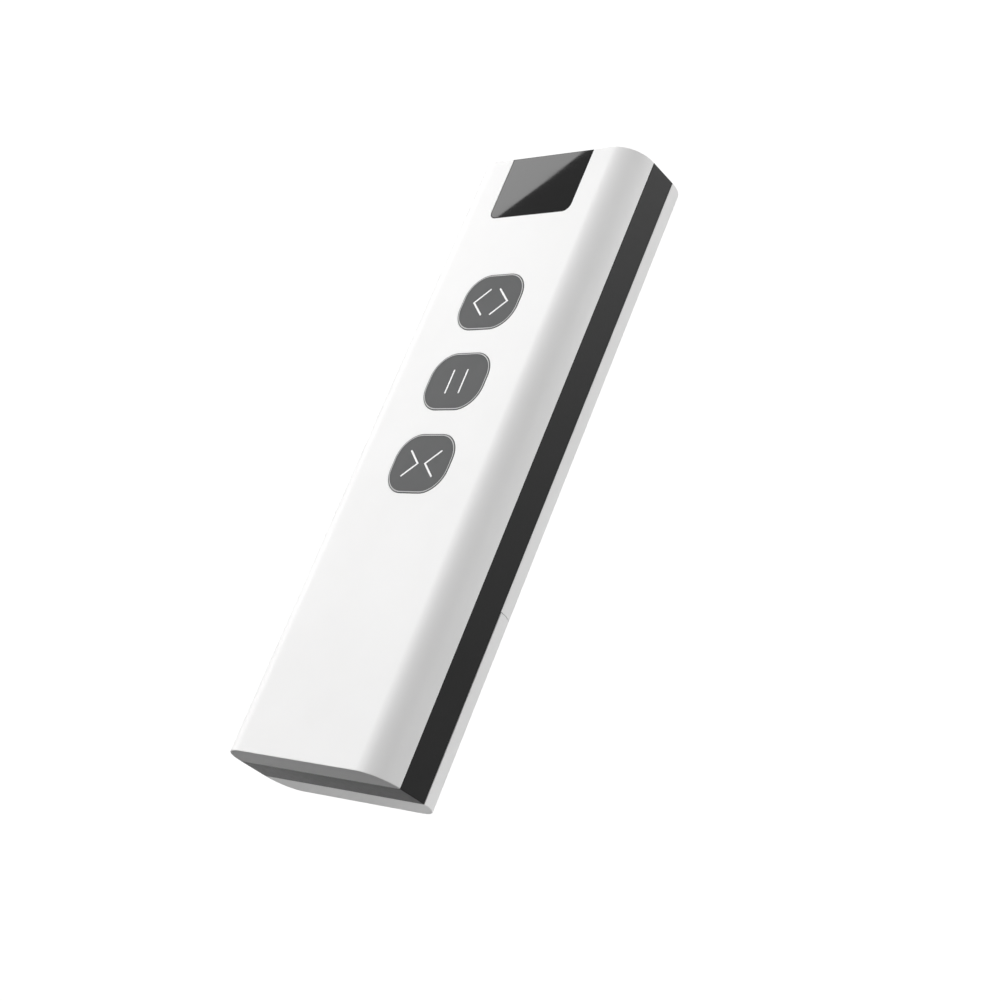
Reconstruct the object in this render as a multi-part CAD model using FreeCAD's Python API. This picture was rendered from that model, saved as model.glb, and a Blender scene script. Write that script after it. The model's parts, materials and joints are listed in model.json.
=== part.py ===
import FreeCAD, Part
import os
from math import hypot, sqrt

# A handheld curtain remote that lies on its back. X runs across it, Y along it towards the
# window end, and Z up through the keys. The origin is the middle of the flat rear face.
# All sizes are in millimetres.

Vector = FreeCAD.Vector

# Body
body_length = 130.0
body_width = 42.5
rear_height = 5.8
band_height = 6.5
front_height = 6.1
front_round = 5.8
rear_round = 5.5
side_flat = 0.05
front_wall = 1.8
rear_wall = 1.6
end_wall = 1.8
frame_wall = 3.0
end_break = 0.15
seam_break = 0.2
band_break = 0.12

# Lips and clips that join the frame to the two shells
lip_height = 1.0
lip_clearance = 0.12
clip_thickness = 1.0
clip_width = 5.0
clip_gap = 0.25
clip_hook = 0.6
clip_hook_height = 0.8
clip_seat_gap = 0.1
front_clip_y = 21.5
rear_clip_y = 44.0
root_sink = 0.3

# Keys
key_width = 15.0
key_depth = 12.4
key_corner = 5.1
key_proud = 0.05
key_edge_break = 0.05
key_pitch = 17.8
first_key_inset = 34.6
key_clearance = 0.12
key_cap_thickness = 1.25
key_skirt = 1.2
key_flange = 0.9
key_flange_thickness = 1.0
key_flange_gap = 0.1
key_stem_diameter = 4.0
key_travel = 0.3

# White symbols on the keys, measured from the middle of each key
symbol_stroke = 0.34
symbol_depth = 0.3
open_vertex = 4.36
open_tip = 1.11
open_half_height = 2.97
pause_offset = 1.76
pause_half_height = 2.65
close_vertex = 0.97
close_tip = 4.1
close_half_height = 2.79

# Window over the indicator
window_width = 21.1
window_length = 14.4
window_corner = 1.7
lens_thickness = 1.5
lens_gap = 0.05
tape_thickness = 0.15
tape_border = 2.0
window_floor = 1.0
window_floor_margin = 1.5
indicator_inset = 8.4
guide_diameter = 2.8
guide_flange_diameter = 4.4
guide_flange_thickness = 0.9
guide_clearance = 0.05
guide_lamp_gap = 0.3

# Circuit board and what is soldered to it
board_side_gap = 1.0
board_thickness = 1.0
board_drop = 1.3
board_start_gap = 2.1
board_end_gap = 3.2
board_corner = 1.5
board_screw_edge = 3.0
board_screw_inset = 4.5
track_width = 0.9
track_thickness = 0.1
track_side_inset = 6.0
track_end_inset = 0.4
track_length = 14.0
controller_size = 5.0
controller_height = 1.1
controller_x = -4.5
controller_inset = 18.5
crystal_width = 3.2
crystal_depth = 2.5
crystal_height = 0.8
crystal_x = 4.0
chip_length = 1.6
chip_width = 0.8
chip_height = 0.55
chip_count = 6
chip_pitch = 2.4
chip_inset = 13.0
lamp_width = 3.5
lamp_depth = 2.8
lamp_base = 0.8
lamp_dome_radius = 1.0

# Tact switches
switch_width = 6.0
switch_body_height = 3.3
switch_plate = 0.25
switch_plate_overhang = 0.1
switch_height = 5.0
switch_floor = 0.5
plunger_diameter = 3.5
plunger_clearance = 0.1
plunger_collar_diameter = 4.4
plunger_collar_gap = 0.15
cavity_clearance = 0.2
switch_roof = 0.7
dome_thickness = 0.1
dome_pressed_height = 0.6
dome_gap = 0.05
dome_edge_gap = 0.1

# Battery, its tray and contacts
cell_diameter = 10.3
cell_length = 28.5
cell_edge_break = 0.4
terminal_diameter = 5.2
terminal_height = 1.2
cell_cover_gap = 0.4
cell_side_gap = 0.3
tray_wall = 1.0
tray_gap = 0.2
deck_thickness = 1.2
deck_side_gap = 0.3
contact_thickness = 0.4
contact_width = 6.4
contact_foot_gap = 0.6
contact_dimple_radius = 1.5
contact_dimple_height = 0.3
contact_spring_room = 1.5
contact_spring_width = 4.6
contact_spring_gap = 0.1
tail_width = 2.4
tail_offset = 2.0
tail_clearance = 0.1
tail_roof_gap = 0.1
tail_foot = 2.4
positive_tail_reach = 2.6

# Battery cover
cover_margin = 0.6
seam_gap = 0.1
cover_gap = 0.15
cover_top_gap = 0.1
rail_width = 2.2
rail_top_gap = 0.45
rail_boss_gap = 1.75
rail_start_gap = 3.0
rail_end_gap = 3.0
ledge_reach = 1.8
ledge_root = 3.0
ear_thickness = 1.2
ear_side_gap = 0.25
seat_gap = 0.05
detent_length = 7.0
detent_width = 0.8
detent_height = 0.3
detent_inset = 1.0
grip_count = 5
grip_pitch = 2.2
grip_length = 14.0
grip_width = 0.9
grip_depth = 0.35
grip_inset = 5.0

# Screws, with their shanks at core size
ear_screw_inset = 5.0
ear_screw_edge = 3.0
ear_screw_side = 3.5
tray_screw_inset = 5.0
screw_head_diameter = 4.0
screw_head_height = 1.1
screw_core_diameter = 1.8
screw_hole_clearance = 0.1
screw_boss_diameter = 5.0
screw_bite = 7.0
board_screw_head_diameter = 3.6
board_screw_head_height = 1.2
board_screw_bite = 3.5
recess_width = 0.5
recess_length = 2.2
recess_depth = 0.5

# Rib across the frame, between the battery and the board
rib_thickness = 1.2
rib_gap = 0.8
rib_board_gap = 0.5

# Levels and stations that follow from the sizes above
half_length = body_length / 2
half_width = body_width / 2
low_seam_z = rear_height
high_seam_z = rear_height + band_height
crown_z = high_seam_z + front_height
ceiling_z = crown_z - front_wall
frame_inner_x = half_width - frame_wall
frame_inner_y = half_length - frame_wall
shell_inner_y = half_length - end_wall

board_top_z = high_seam_z - board_drop
board_bottom_z = board_top_z - board_thickness
plunger_top_z = board_top_z + switch_height
switch_top_z = board_top_z + switch_body_height
switch_hole_radius = plunger_diameter / 2 + plunger_clearance
switch_cavity_radius = plunger_collar_diameter / 2 + cavity_clearance
collar_top_z = switch_top_z - switch_roof - plunger_collar_gap
cavity_floor_z = board_top_z + switch_floor
dome_top_z = cavity_floor_z + dome_pressed_height + key_travel
collar_bottom_z = dome_top_z + dome_gap

key_top_z = crown_z + key_proud
key_cap_underside_z = key_top_z - key_cap_thickness
key_flange_top_z = ceiling_z - key_flange_gap
key_bottom_z = key_flange_top_z - key_flange_thickness
first_key_y = half_length - first_key_inset
key_names = ["open", "pause", "close"]
key_places = [first_key_y - key_pitch * index for index in range(len(key_names))]

window_start_y = half_length - window_length
recess_floor_z = crown_z - lens_thickness - tape_thickness
window_pad_z = recess_floor_z - window_floor
indicator_y = half_length - indicator_inset
lamp_top_z = board_top_z + lamp_base + lamp_dome_radius

ear_bottom_z = rear_wall + cover_gap
ear_top_z = ear_bottom_z + ear_thickness
deck_bottom_z = ear_top_z + seat_gap
deck_top_z = deck_bottom_z + deck_thickness
rail_bottom_z = deck_top_z + cover_gap
rail_top_z = low_seam_z - rail_top_gap
cell_radius = cell_diameter / 2
trough_radius = cell_radius + cell_side_gap
cell_axis_z = rear_wall + cell_cover_gap + cell_radius
tray_roof_z = cell_axis_z + trough_radius + tray_wall
tray_start_y = -frame_inner_y + tray_gap
trough_start_y = tray_start_y + tray_wall
spring_face_y = trough_start_y + contact_thickness
cell_start_y = spring_face_y + contact_spring_room
cell_end_y = cell_start_y + cell_length
trough_end_y = cell_end_y + contact_dimple_height + contact_thickness
tray_end_y = trough_end_y + tray_wall
split_y = tray_end_y + cover_margin
cover_end_y = split_y - seam_gap / 2
rear_start_y = split_y + seam_gap / 2
contact_foot_z = deck_bottom_z + contact_foot_gap

board_width = 2 * (frame_inner_x - clip_gap - clip_thickness - board_side_gap)
board_screw_x = board_width / 2 - board_screw_edge
board_start_y = split_y + board_start_gap
board_end_y = shell_inner_y - board_end_gap
board_screw_places = [
    (side * board_screw_x, y)
    for side in (-1, 1)
    for y in (board_start_y + board_screw_inset, board_end_y - board_screw_inset)
]
screw_core_radius = screw_core_diameter / 2
screw_hole_radius = screw_core_radius + screw_hole_clearance


def box(low_x, high_x, low_y, high_y, low_z, high_z):
    corner = Vector(low_x, low_y, low_z)
    return Part.makeBox(high_x - low_x, high_y - low_y, high_z - low_z, corner)


def post(radius, x, y, low_z, high_z):
    return Part.makeCylinder(radius, high_z - low_z, Vector(x, y, low_z))


def outline(start, *steps):
    # Each step is an end point, or a middle point and an end point of an arc.
    edges = []
    here = start
    for step in steps:
        end = step[-1]
        if (end - here).Length > 1e-6:
            if len(step) == 2:
                edges.append(Part.Arc(here, step[0], end).toShape())
            else:
                edges.append(Part.makeLine(here, end))
        here = end
    return Part.Face(Part.Wire(edges))


def rounded_prism(x, y, width, depth, corner, low_z, high_z):
    a = width / 2
    b = depth / 2
    c = corner
    d = corner * (1 - sqrt(0.5))

    def place(u, v):
        return Vector(x + u, y + v, low_z)

    face = outline(
        place(c - a, -b),
        (place(a - c, -b),),
        (place(a - d, d - b), place(a, c - b)),
        (place(a, b - c),),
        (place(a - d, b - d), place(a - c, b)),
        (place(c - a, b),),
        (place(d - a, b - d), place(-a, b - c)),
        (place(-a, c - b),),
        (place(d - a, d - b), place(c - a, -b)),
    )
    return face.extrude(Vector(0, 0, high_z - low_z))


def layer(half, seam_z, outer_z, radius, edge_break, low_y, high_y):
    # One white layer of the body: flat at the seam, with a round down each long side.
    way = 1 if outer_z > seam_z else -1
    d = radius * (1 - sqrt(0.5))

    def place(u, z):
        return Vector(u, low_y, z)

    face = outline(
        place(half - edge_break, seam_z),
        (place(half, seam_z + way * edge_break),),
        (place(half, outer_z - way * radius),),
        (place(half - d, outer_z - way * d), place(half - radius, outer_z)),
        (place(radius - half, outer_z),),
        (place(d - half, outer_z - way * d), place(-half, outer_z - way * radius)),
        (place(-half, seam_z + way * edge_break),),
        (place(edge_break - half, seam_z),),
        (place(half - edge_break, seam_z),),
    )
    return face.extrude(Vector(0, high_y - low_y, 0))


def side_radius(radius, height):
    # The round leaves a short straight side above the broken seam edge.
    return min(radius, height - seam_break - side_flat)


def inner_half_width(height_over_seam, layer_height, radius, wall):
    # Half the clear width inside a layer, at a height from its seam.
    inner_radius = radius - wall
    rise = max(0.0, height_over_seam - (layer_height - radius))
    return half_width - radius + sqrt(inner_radius ** 2 - rise ** 2)


def front_inner_x(z):
    radius = side_radius(front_round, front_height)
    return inner_half_width(z - high_seam_z, front_height, radius, front_wall)


def rear_inner_x(z):
    radius = side_radius(rear_round, rear_height)
    return inner_half_width(low_seam_z - z, rear_height, radius, rear_wall)


rail_inner_x = rear_inner_x(rail_bottom_z) - rail_width
housing_screw_x = rail_inner_x - rail_boss_gap - screw_boss_diameter / 2
ear_screw_y = split_y - ear_screw_inset
tray_screw_y = tray_start_y + tray_screw_inset
ear_screw_places = [(side * housing_screw_x, ear_screw_y) for side in (-1, 1)]
tray_screw_places = [(side * housing_screw_x, tray_screw_y) for side in (-1, 1)]


def end_edges(shape, end_y, seam_z):
    # The edges round an end face, apart from those that touch the seam.
    found = []
    for edge in shape.Edges:
        points = [vertex.Point for vertex in edge.Vertexes]
        at_end = all(abs(point.y - end_y) < 1e-6 for point in points)
        off_seam = all(abs(point.z - seam_z) > seam_break / 2 for point in points)
        if at_end and off_seam:
            found.append(edge)
    return found


def front_layer():
    radius = side_radius(front_round, front_height)
    body = layer(half_width, high_seam_z, crown_z, radius, seam_break, -half_length, half_length)
    edges = end_edges(body, -half_length, high_seam_z) + end_edges(body, half_length, high_seam_z)
    body = body.makeChamfer(end_break, edges)
    inner = half_width - front_wall
    hollow = layer(
        inner, high_seam_z, ceiling_z, radius - front_wall, 0, -shell_inner_y, shell_inner_y
    )
    return body.cut(hollow)


def rear_layer(low_y, high_y):
    radius = side_radius(rear_round, rear_height)
    body = layer(half_width, low_seam_z, 0, radius, seam_break, low_y, high_y)
    end_y = low_y if abs(low_y + half_length) < 1e-6 else high_y
    body = body.makeChamfer(end_break, end_edges(body, end_y, low_seam_z))
    inner = half_width - rear_wall
    low_inner_y = max(low_y - end_wall, -shell_inner_y)
    high_inner_y = min(high_y + end_wall, shell_inner_y)
    hollow = layer(
        inner, low_seam_z, rear_wall, radius - rear_wall, 0, low_inner_y, high_inner_y
    )
    return body.cut(hollow)


def clip(y, root_z, seat_z):
    # A pair of spring arms from a shell, with hooks that catch a lip of the frame.
    outer_x = frame_inner_x - clip_gap
    way = 1 if seat_z > root_z else -1
    hook_z = seat_z + way * clip_seat_gap
    tip_z = hook_z + way * clip_hook_height
    root_z = root_z - way * root_sink
    arms = []
    for side in (-1, 1):
        low_x, high_x = sorted((side * (outer_x - clip_thickness), side * outer_x))
        low_z, high_z = sorted((root_z, tip_z))
        arm = box(low_x, high_x, y - clip_width / 2, y + clip_width / 2, low_z, high_z)
        low_x, high_x = sorted((side * (outer_x - clip_thickness), side * (outer_x + clip_hook)))
        low_z, high_z = sorted((hook_z, tip_z))
        hook = box(low_x, high_x, y - clip_width / 2, y + clip_width / 2, low_z, high_z)
        arms.append(arm.fuse(hook))
    return arms


def window_prism(growth, low_z, high_z):
    # The window's outline: two round corners below, open to the end of the body above.
    width = window_width + 2 * growth
    depth = 2 * (window_length + growth)
    corner = window_corner + growth
    whole = rounded_prism(0, half_length, width, depth, corner, low_z, high_z)
    return whole.common(box(-width, width, 0, half_length, low_z, high_z))


def front_shell():
    shell = front_layer()
    margin = window_floor_margin
    pad = box(
        -window_width / 2 - margin,
        window_width / 2 + margin,
        window_start_y - margin,
        half_length - end_wall / 2,
        window_pad_z,
        ceiling_z + root_sink,
    )
    added = [pad]
    boss_radius = screw_boss_diameter / 2
    for x, y in board_screw_places:
        added.append(post(boss_radius, x, y, board_top_z, ceiling_z + root_sink))
    for x, y in ear_screw_places + tray_screw_places:
        added.append(post(boss_radius, x, y, deck_top_z, ceiling_z + root_sink))
    added.extend(clip(front_clip_y, ceiling_z, low_seam_z - lip_height))
    shell = shell.fuse(added)
    removed = [window_prism(lens_gap, recess_floor_z, crown_z + root_sink)]
    guide_hole = guide_diameter / 2 + guide_clearance
    removed.append(post(guide_hole, 0, indicator_y, window_pad_z - root_sink, crown_z))
    for y in key_places:
        width = key_width + 2 * key_clearance
        depth = key_depth + 2 * key_clearance
        corner = key_corner + key_clearance
        low_z = ceiling_z - root_sink
        removed.append(rounded_prism(0, y, width, depth, corner, low_z, crown_z + root_sink))
    for x, y in board_screw_places:
        top_z = board_top_z + board_screw_bite + screw_hole_clearance
        removed.append(post(screw_hole_radius, x, y, board_top_z, top_z))
    for x, y in ear_screw_places + tray_screw_places:
        top_z = deck_top_z + screw_bite + screw_hole_clearance
        removed.append(post(screw_hole_radius, x, y, deck_top_z, top_z))
    return shell.cut(removed)


def mid_frame():
    body = box(-half_width, half_width, -half_length, half_length, low_seam_z, high_seam_z)
    outer_edges = [
        edge
        for edge in body.Edges
        if abs(edge.Vertexes[0].Z - edge.Vertexes[1].Z) < 1e-6
    ]
    body = body.makeChamfer(band_break, outer_edges)
    lip_top_z = high_seam_z + lip_height
    lip_low_z = low_seam_z - lip_height
    upper_x = front_inner_x(lip_top_z) - lip_clearance
    lower_x = rear_inner_x(lip_low_z) - lip_clearance
    lip_y = shell_inner_y - lip_clearance
    lip_start_y = rear_start_y + lip_clearance
    upper_lip = box(-upper_x, upper_x, -lip_y, lip_y, high_seam_z, lip_top_z)
    lower_lip = box(-lower_x, lower_x, lip_start_y, lip_y, lip_low_z, low_seam_z)
    body = body.fuse([upper_lip, lower_lip])
    opening = box(
        -frame_inner_x, frame_inner_x, -frame_inner_y, frame_inner_y, 0, crown_z
    )
    body = body.cut(opening)
    rib_start_y = tray_end_y + rib_gap
    rib_top_z = board_bottom_z - rib_board_gap
    rib_x = frame_inner_x + root_sink
    rib = box(-rib_x, rib_x, rib_start_y, rib_start_y + rib_thickness, low_seam_z, rib_top_z)
    return body.fuse(rib)


def countersink(x, y, z):
    # A conical seat for a flat-headed screw, with its running clearance.
    wide = screw_head_diameter / 2 + screw_hole_clearance
    cone = Part.makeCone(wide, screw_hole_radius, screw_head_height, Vector(x, y, z))
    mouth = post(wide, x, y, z - root_sink, z)
    hole = post(screw_hole_radius, x, y, z, deck_top_z + root_sink)
    return [cone, mouth, hole]


def rear_shell():
    shell = rear_layer(rear_start_y, half_length)
    ledge_x = rear_inner_x(ear_bottom_z) - ear_side_gap
    ledge_start_y = split_y - ledge_reach
    ledge_end_y = split_y + ledge_root
    added = [box(-ledge_x, ledge_x, ledge_start_y, ledge_end_y, ear_bottom_z, ear_top_z)]
    low_z = rear_wall - root_sink
    added.append(box(-ledge_x, ledge_x, rear_start_y, ledge_end_y, low_z, ear_top_z))
    ear_start_y = ear_screw_y - ear_screw_edge
    ear_inner_x = housing_screw_x - ear_screw_side
    for low_x, high_x in ((-ledge_x, -ear_inner_x), (ear_inner_x, ledge_x)):
        added.append(box(low_x, high_x, ear_start_y, ledge_end_y, ear_bottom_z, ear_top_z))
    detent_y = split_y - detent_inset
    half = detent_width / 2 - cover_gap / 2
    added.append(
        box(
            -detent_length / 2,
            detent_length / 2,
            detent_y - half,
            detent_y + half,
            ear_bottom_z - detent_height,
            ear_bottom_z + root_sink,
        )
    )
    added.extend(clip(rear_clip_y, rear_wall, high_seam_z + lip_height))
    shell = shell.fuse(added)
    removed = []
    for x, y in ear_screw_places:
        removed.extend(countersink(x, y, ear_bottom_z))
    return shell.cut(removed)


def battery_cover():
    cover = rear_layer(-half_length, cover_end_y)
    rails = []
    rail_start_y = -shell_inner_y + rail_start_gap
    rail_end_y = ear_screw_y + rail_end_gap
    outer_x = rear_inner_x(rail_top_z) + root_sink
    for low_x, high_x in ((-outer_x, -rail_inner_x), (rail_inner_x, outer_x)):
        rails.append(box(low_x, high_x, rail_start_y, rail_end_y, rail_bottom_z, rail_top_z))
    cover = cover.fuse(rails)
    detent_y = split_y - detent_inset
    detent_x = detent_length / 2 + cover_gap
    removed = [
        box(
            -detent_x,
            detent_x,
            detent_y - detent_width / 2,
            detent_y + detent_width / 2,
            ear_bottom_z - detent_height - cover_gap,
            rear_wall + root_sink,
        )
    ]
    top_z = low_seam_z - cover_top_gap
    removed.append(box(-body_width, body_width, -body_length, split_y, top_z, crown_z))
    for index in range(grip_count):
        y = split_y - grip_inset - index * grip_pitch
        low_y = y - grip_width / 2
        x = grip_length / 2
        removed.append(box(-x, x, low_y, low_y + grip_width, -root_sink, grip_depth))
    return cover.cut(removed)


def window_lens():
    lens = window_prism(0, recess_floor_z + tape_thickness, crown_z)
    edges = end_edges(lens, half_length, recess_floor_z + tape_thickness)
    top_edges = [e for e in edges if abs(e.Vertexes[0].Z - e.Vertexes[1].Z) < 1e-6]
    return lens.makeChamfer(end_break, top_edges)


def lens_tape():
    low_z = recess_floor_z
    high_z = recess_floor_z + tape_thickness
    whole = window_prism(0, low_z, high_z)
    inner_x = window_width / 2 - tape_border
    start_y = window_start_y + tape_border
    end_y = half_length - tape_border
    return whole.cut(box(-inner_x, inner_x, start_y, end_y, low_z, high_z))


def light_guide():
    top_z = recess_floor_z
    flange_top_z = window_pad_z - seat_gap
    flange_low_z = flange_top_z - guide_flange_thickness
    peg = post(guide_diameter / 2, 0, indicator_y, lamp_top_z + guide_lamp_gap, top_z)
    flange = post(guide_flange_diameter / 2, 0, indicator_y, flange_low_z, flange_top_z)
    return peg.fuse(flange)


def chevron(y, vertex_x, tip_x, half_height, low_z, high_z):
    # A V of two strokes that lies on its side, with its corner mitred.
    run = tip_x - vertex_x
    reach = hypot(run, half_height)
    across_x = symbol_stroke / 2 * half_height / reach
    across_y = symbol_stroke / 2 * abs(run) / reach
    way = 1 if run > 0 else -1
    mitre = symbol_stroke / 2 * reach / half_height

    def place(x, v):
        return Vector(x, y + v, low_z)

    face = outline(
        place(vertex_x - way * mitre, 0),
        (place(tip_x - way * across_x, half_height + across_y),),
        (place(tip_x + way * across_x, half_height - across_y),),
        (place(vertex_x + way * mitre, 0),),
        (place(tip_x + way * across_x, across_y - half_height),),
        (place(tip_x - way * across_x, -half_height - across_y),),
        (place(vertex_x - way * mitre, 0),),
    )
    return face.extrude(Vector(0, 0, high_z - low_z))


def symbol(name, y):
    low_z = key_top_z - symbol_depth
    pieces = []
    for side in (-1, 1):
        if name == "open":
            args = (side * open_vertex, side * open_tip, open_half_height)
            pieces.append(chevron(y, *args, low_z, key_top_z))
        elif name == "close":
            args = (side * close_vertex, side * close_tip, close_half_height)
            pieces.append(chevron(y, *args, low_z, key_top_z))
        else:
            x = side * pause_offset
            half = symbol_stroke / 2
            reach = pause_half_height
            pieces.append(box(x - half, x + half, y - reach, y + reach, low_z, key_top_z))
    return Part.makeCompound(pieces)


def key(name, y):
    cap = rounded_prism(0, y, key_width, key_depth, key_corner, key_bottom_z, key_top_z)
    top_edges = [
        edge
        for edge in cap.Edges
        if all(abs(vertex.Z - key_top_z) < 1e-6 for vertex in edge.Vertexes)
    ]
    cap = cap.makeChamfer(key_edge_break, top_edges)
    flange = rounded_prism(
        0,
        y,
        key_width + 2 * key_flange,
        key_depth + 2 * key_flange,
        key_corner + key_flange,
        key_bottom_z,
        key_flange_top_z,
    )
    pocket = rounded_prism(
        0,
        y,
        key_width - 2 * key_skirt,
        key_depth - 2 * key_skirt,
        key_corner - key_skirt,
        key_bottom_z - root_sink,
        key_cap_underside_z,
    )
    stem = post(key_stem_diameter / 2, 0, y, plunger_top_z, key_cap_underside_z + root_sink)
    cap = cap.fuse(flange).cut(pocket).fuse(stem)
    return cap.cut(symbol(name, y))


def switch_base(y):
    half = switch_width / 2
    body = box(-half, half, y - half, y + half, board_top_z, switch_top_z)
    cavity_top_z = switch_top_z - switch_roof
    cavity = post(switch_cavity_radius, 0, y, cavity_floor_z, cavity_top_z)
    hole = post(switch_hole_radius, 0, y, cavity_top_z, switch_top_z)
    return body.cut([cavity, hole])


def switch_cover_plate(y):
    half = switch_width / 2 + switch_plate_overhang
    top_z = switch_top_z + switch_plate
    plate = box(-half, half, y - half, y + half, switch_top_z, top_z)
    return plate.cut(post(switch_hole_radius, 0, y, switch_top_z, top_z))


def switch_plunger(y):
    stem = post(plunger_diameter / 2, 0, y, collar_bottom_z, plunger_top_z)
    collar = post(plunger_collar_diameter / 2, 0, y, collar_bottom_z, collar_top_z)
    return stem.fuse(collar)


def snap_dome(y):
    # A thin spherical spring disc under the plunger, wide side down.
    edge_radius = switch_cavity_radius - dome_edge_gap
    rise = dome_top_z - cavity_floor_z
    sphere_radius = (edge_radius ** 2 + rise ** 2) / (2 * rise)
    centre = Vector(0, y, dome_top_z - sphere_radius)
    outer = Part.makeSphere(sphere_radius, centre)
    inner = Part.makeSphere(sphere_radius - dome_thickness, centre)
    reach = switch_width
    keep = box(-reach, reach, y - reach, y + reach, cavity_floor_z, collar_bottom_z)
    return outer.cut(inner).common(keep)


def circuit_board():
    depth = board_end_y - board_start_y
    middle_y = (board_start_y + board_end_y) / 2
    board = rounded_prism(
        0, middle_y, board_width, depth, board_corner, board_bottom_z, board_top_z
    )
    holes = [
        post(screw_hole_radius, x, y, board_bottom_z, board_top_z)
        for x, y in board_screw_places
    ]
    return board.cut(holes)


def antenna_track():
    # A copper loop round the board's window end, printed on its top face.
    outer_x = board_width / 2 - track_side_inset
    end_y = board_end_y - track_end_inset
    start_y = end_y - track_length
    top_z = board_top_z + track_thickness
    outer = box(-outer_x, outer_x, start_y, end_y, board_top_z, top_z)
    inner_x = outer_x - track_width
    inner = box(-inner_x, inner_x, start_y, end_y - track_width, board_top_z, top_z)
    return outer.cut(inner)


def board_block(x, y, width, depth, height):
    return box(
        x - width / 2, x + width / 2, y - depth / 2, y + depth / 2,
        board_top_z, board_top_z + height,
    )


def small_chips():
    first_x = -chip_pitch * (chip_count - 1) / 2
    y = board_end_y - chip_inset
    return Part.makeCompound(
        [
            board_block(first_x + chip_pitch * index, y, chip_width, chip_length, chip_height)
            for index in range(chip_count)
        ]
    )


def indicator_lamp():
    base = board_block(0, indicator_y, lamp_width, lamp_depth, lamp_base)
    top_z = board_top_z + lamp_base
    dome = Part.makeSphere(lamp_dome_radius, Vector(0, indicator_y, top_z))
    upper = board_block(0, indicator_y, lamp_width, lamp_depth, lamp_base + lamp_dome_radius)
    return base.fuse(dome.common(upper))


def battery_tray():
    half = trough_radius + tray_wall
    deck_x = rear_inner_x(deck_bottom_z) - deck_side_gap
    body = box(-half, half, tray_start_y, tray_end_y, deck_bottom_z, tray_roof_z)
    deck = box(-deck_x, deck_x, tray_start_y, tray_end_y, deck_bottom_z, deck_top_z)
    body = body.fuse(deck)
    length = trough_end_y - trough_start_y
    start = Vector(0, trough_start_y, cell_axis_z)
    round_part = Part.makeCylinder(trough_radius, length, start, Vector(0, 1, 0))
    low_part = box(
        -trough_radius, trough_radius, trough_start_y, trough_end_y, 0, cell_axis_z
    )
    tail_half = tail_width / 2 + tail_clearance
    spring_slot = box(
        -tail_offset - tail_half,
        -tail_offset + tail_half,
        trough_start_y,
        spring_face_y + tail_clearance,
        cell_axis_z,
        tray_roof_z,
    )
    plate_slot = box(
        tail_offset - tail_half,
        tail_offset + tail_half,
        trough_end_y - contact_thickness - tail_clearance,
        tray_end_y,
        board_top_z - tail_clearance,
        board_top_z + contact_thickness + tail_clearance,
    )
    removed = [round_part, low_part, spring_slot, plate_slot]
    for x, y in tray_screw_places:
        removed.extend(countersink(x, y, deck_bottom_z))
    for x, y in ear_screw_places:
        removed.append(post(screw_hole_radius, x, y, deck_bottom_z, deck_top_z))
    return body.cut(removed)


def positive_contact():
    # A plate with a dimple for the terminal, and a tail through the tray to the board.
    half = contact_width / 2
    plate_y = trough_end_y - contact_thickness
    top_z = board_top_z + contact_thickness
    plate = box(-half, half, plate_y, trough_end_y, contact_foot_z, board_top_z - tail_clearance)
    low_x = tail_offset - tail_width / 2
    high_x = tail_offset + tail_width / 2
    neck = box(low_x, high_x, plate_y, trough_end_y, cell_axis_z, top_z)
    tail_end_y = board_start_y + positive_tail_reach
    tail = box(low_x, high_x, plate_y, tail_end_y, board_top_z, top_z)
    centre = Vector(0, plate_y, cell_axis_z)
    dimple = Part.makeCylinder(
        contact_dimple_radius, contact_dimple_height, centre, Vector(0, -1, 0)
    )
    return plate.fuse([neck, tail, dimple])


def negative_contact():
    # A plate with a folded leaf that pushes on the cell, and a strip over the tray's roof.
    half = contact_width / 2
    thick = contact_thickness
    plate_top_z = board_top_z - tail_clearance
    plate = box(-half, half, trough_start_y, spring_face_y, contact_foot_z, plate_top_z)
    low_x = -tail_offset - tail_width / 2
    high_x = -tail_offset + tail_width / 2
    strip_low_z = tray_roof_z + tail_roof_gap
    strip_top_z = strip_low_z + thick
    neck = box(low_x, high_x, trough_start_y, spring_face_y, cell_axis_z, strip_top_z)
    foot_y = board_start_y + thick
    strip = box(low_x, high_x, trough_start_y, foot_y, strip_low_z, strip_top_z)
    drop = box(low_x, high_x, board_start_y, foot_y, board_top_z, strip_top_z)
    foot = box(low_x, high_x, board_start_y, foot_y + tail_foot, board_top_z, board_top_z + thick)
    leaf_tip_y = cell_start_y - contact_spring_gap
    leaf_x = contact_spring_width / 2
    fold_z = contact_foot_z
    crest_z = cell_axis_z
    end_z = 2 * crest_z - fold_z - thick

    def place(y, z):
        return Vector(-leaf_x, y, z)

    leaf = outline(
        place(trough_start_y, fold_z),
        (place(spring_face_y, fold_z),),
        (place(leaf_tip_y, crest_z),),
        (place(spring_face_y + thick, end_z),),
        (place(spring_face_y + thick, end_z - 2 * thick),),
        (place(leaf_tip_y - thick, crest_z),),
        (place(spring_face_y, fold_z + thick),),
        (place(trough_start_y, fold_z + thick),),
        (place(trough_start_y, fold_z),),
    ).extrude(Vector(contact_spring_width, 0, 0))
    return plate.fuse([neck, strip, drop, foot, leaf])


def battery_cell():
    start = Vector(0, cell_start_y, cell_axis_z)
    length = cell_length - terminal_height
    can = Part.makeCylinder(cell_radius, length, start, Vector(0, 1, 0))
    rims = [edge for edge in can.Edges if edge.Curve.TypeId == "Part::GeomCircle"]
    return can.makeFillet(cell_edge_break, rims)


def battery_terminal():
    start = Vector(0, cell_end_y - terminal_height, cell_axis_z)
    return Part.makeCylinder(terminal_diameter / 2, terminal_height, start, Vector(0, 1, 0))


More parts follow.
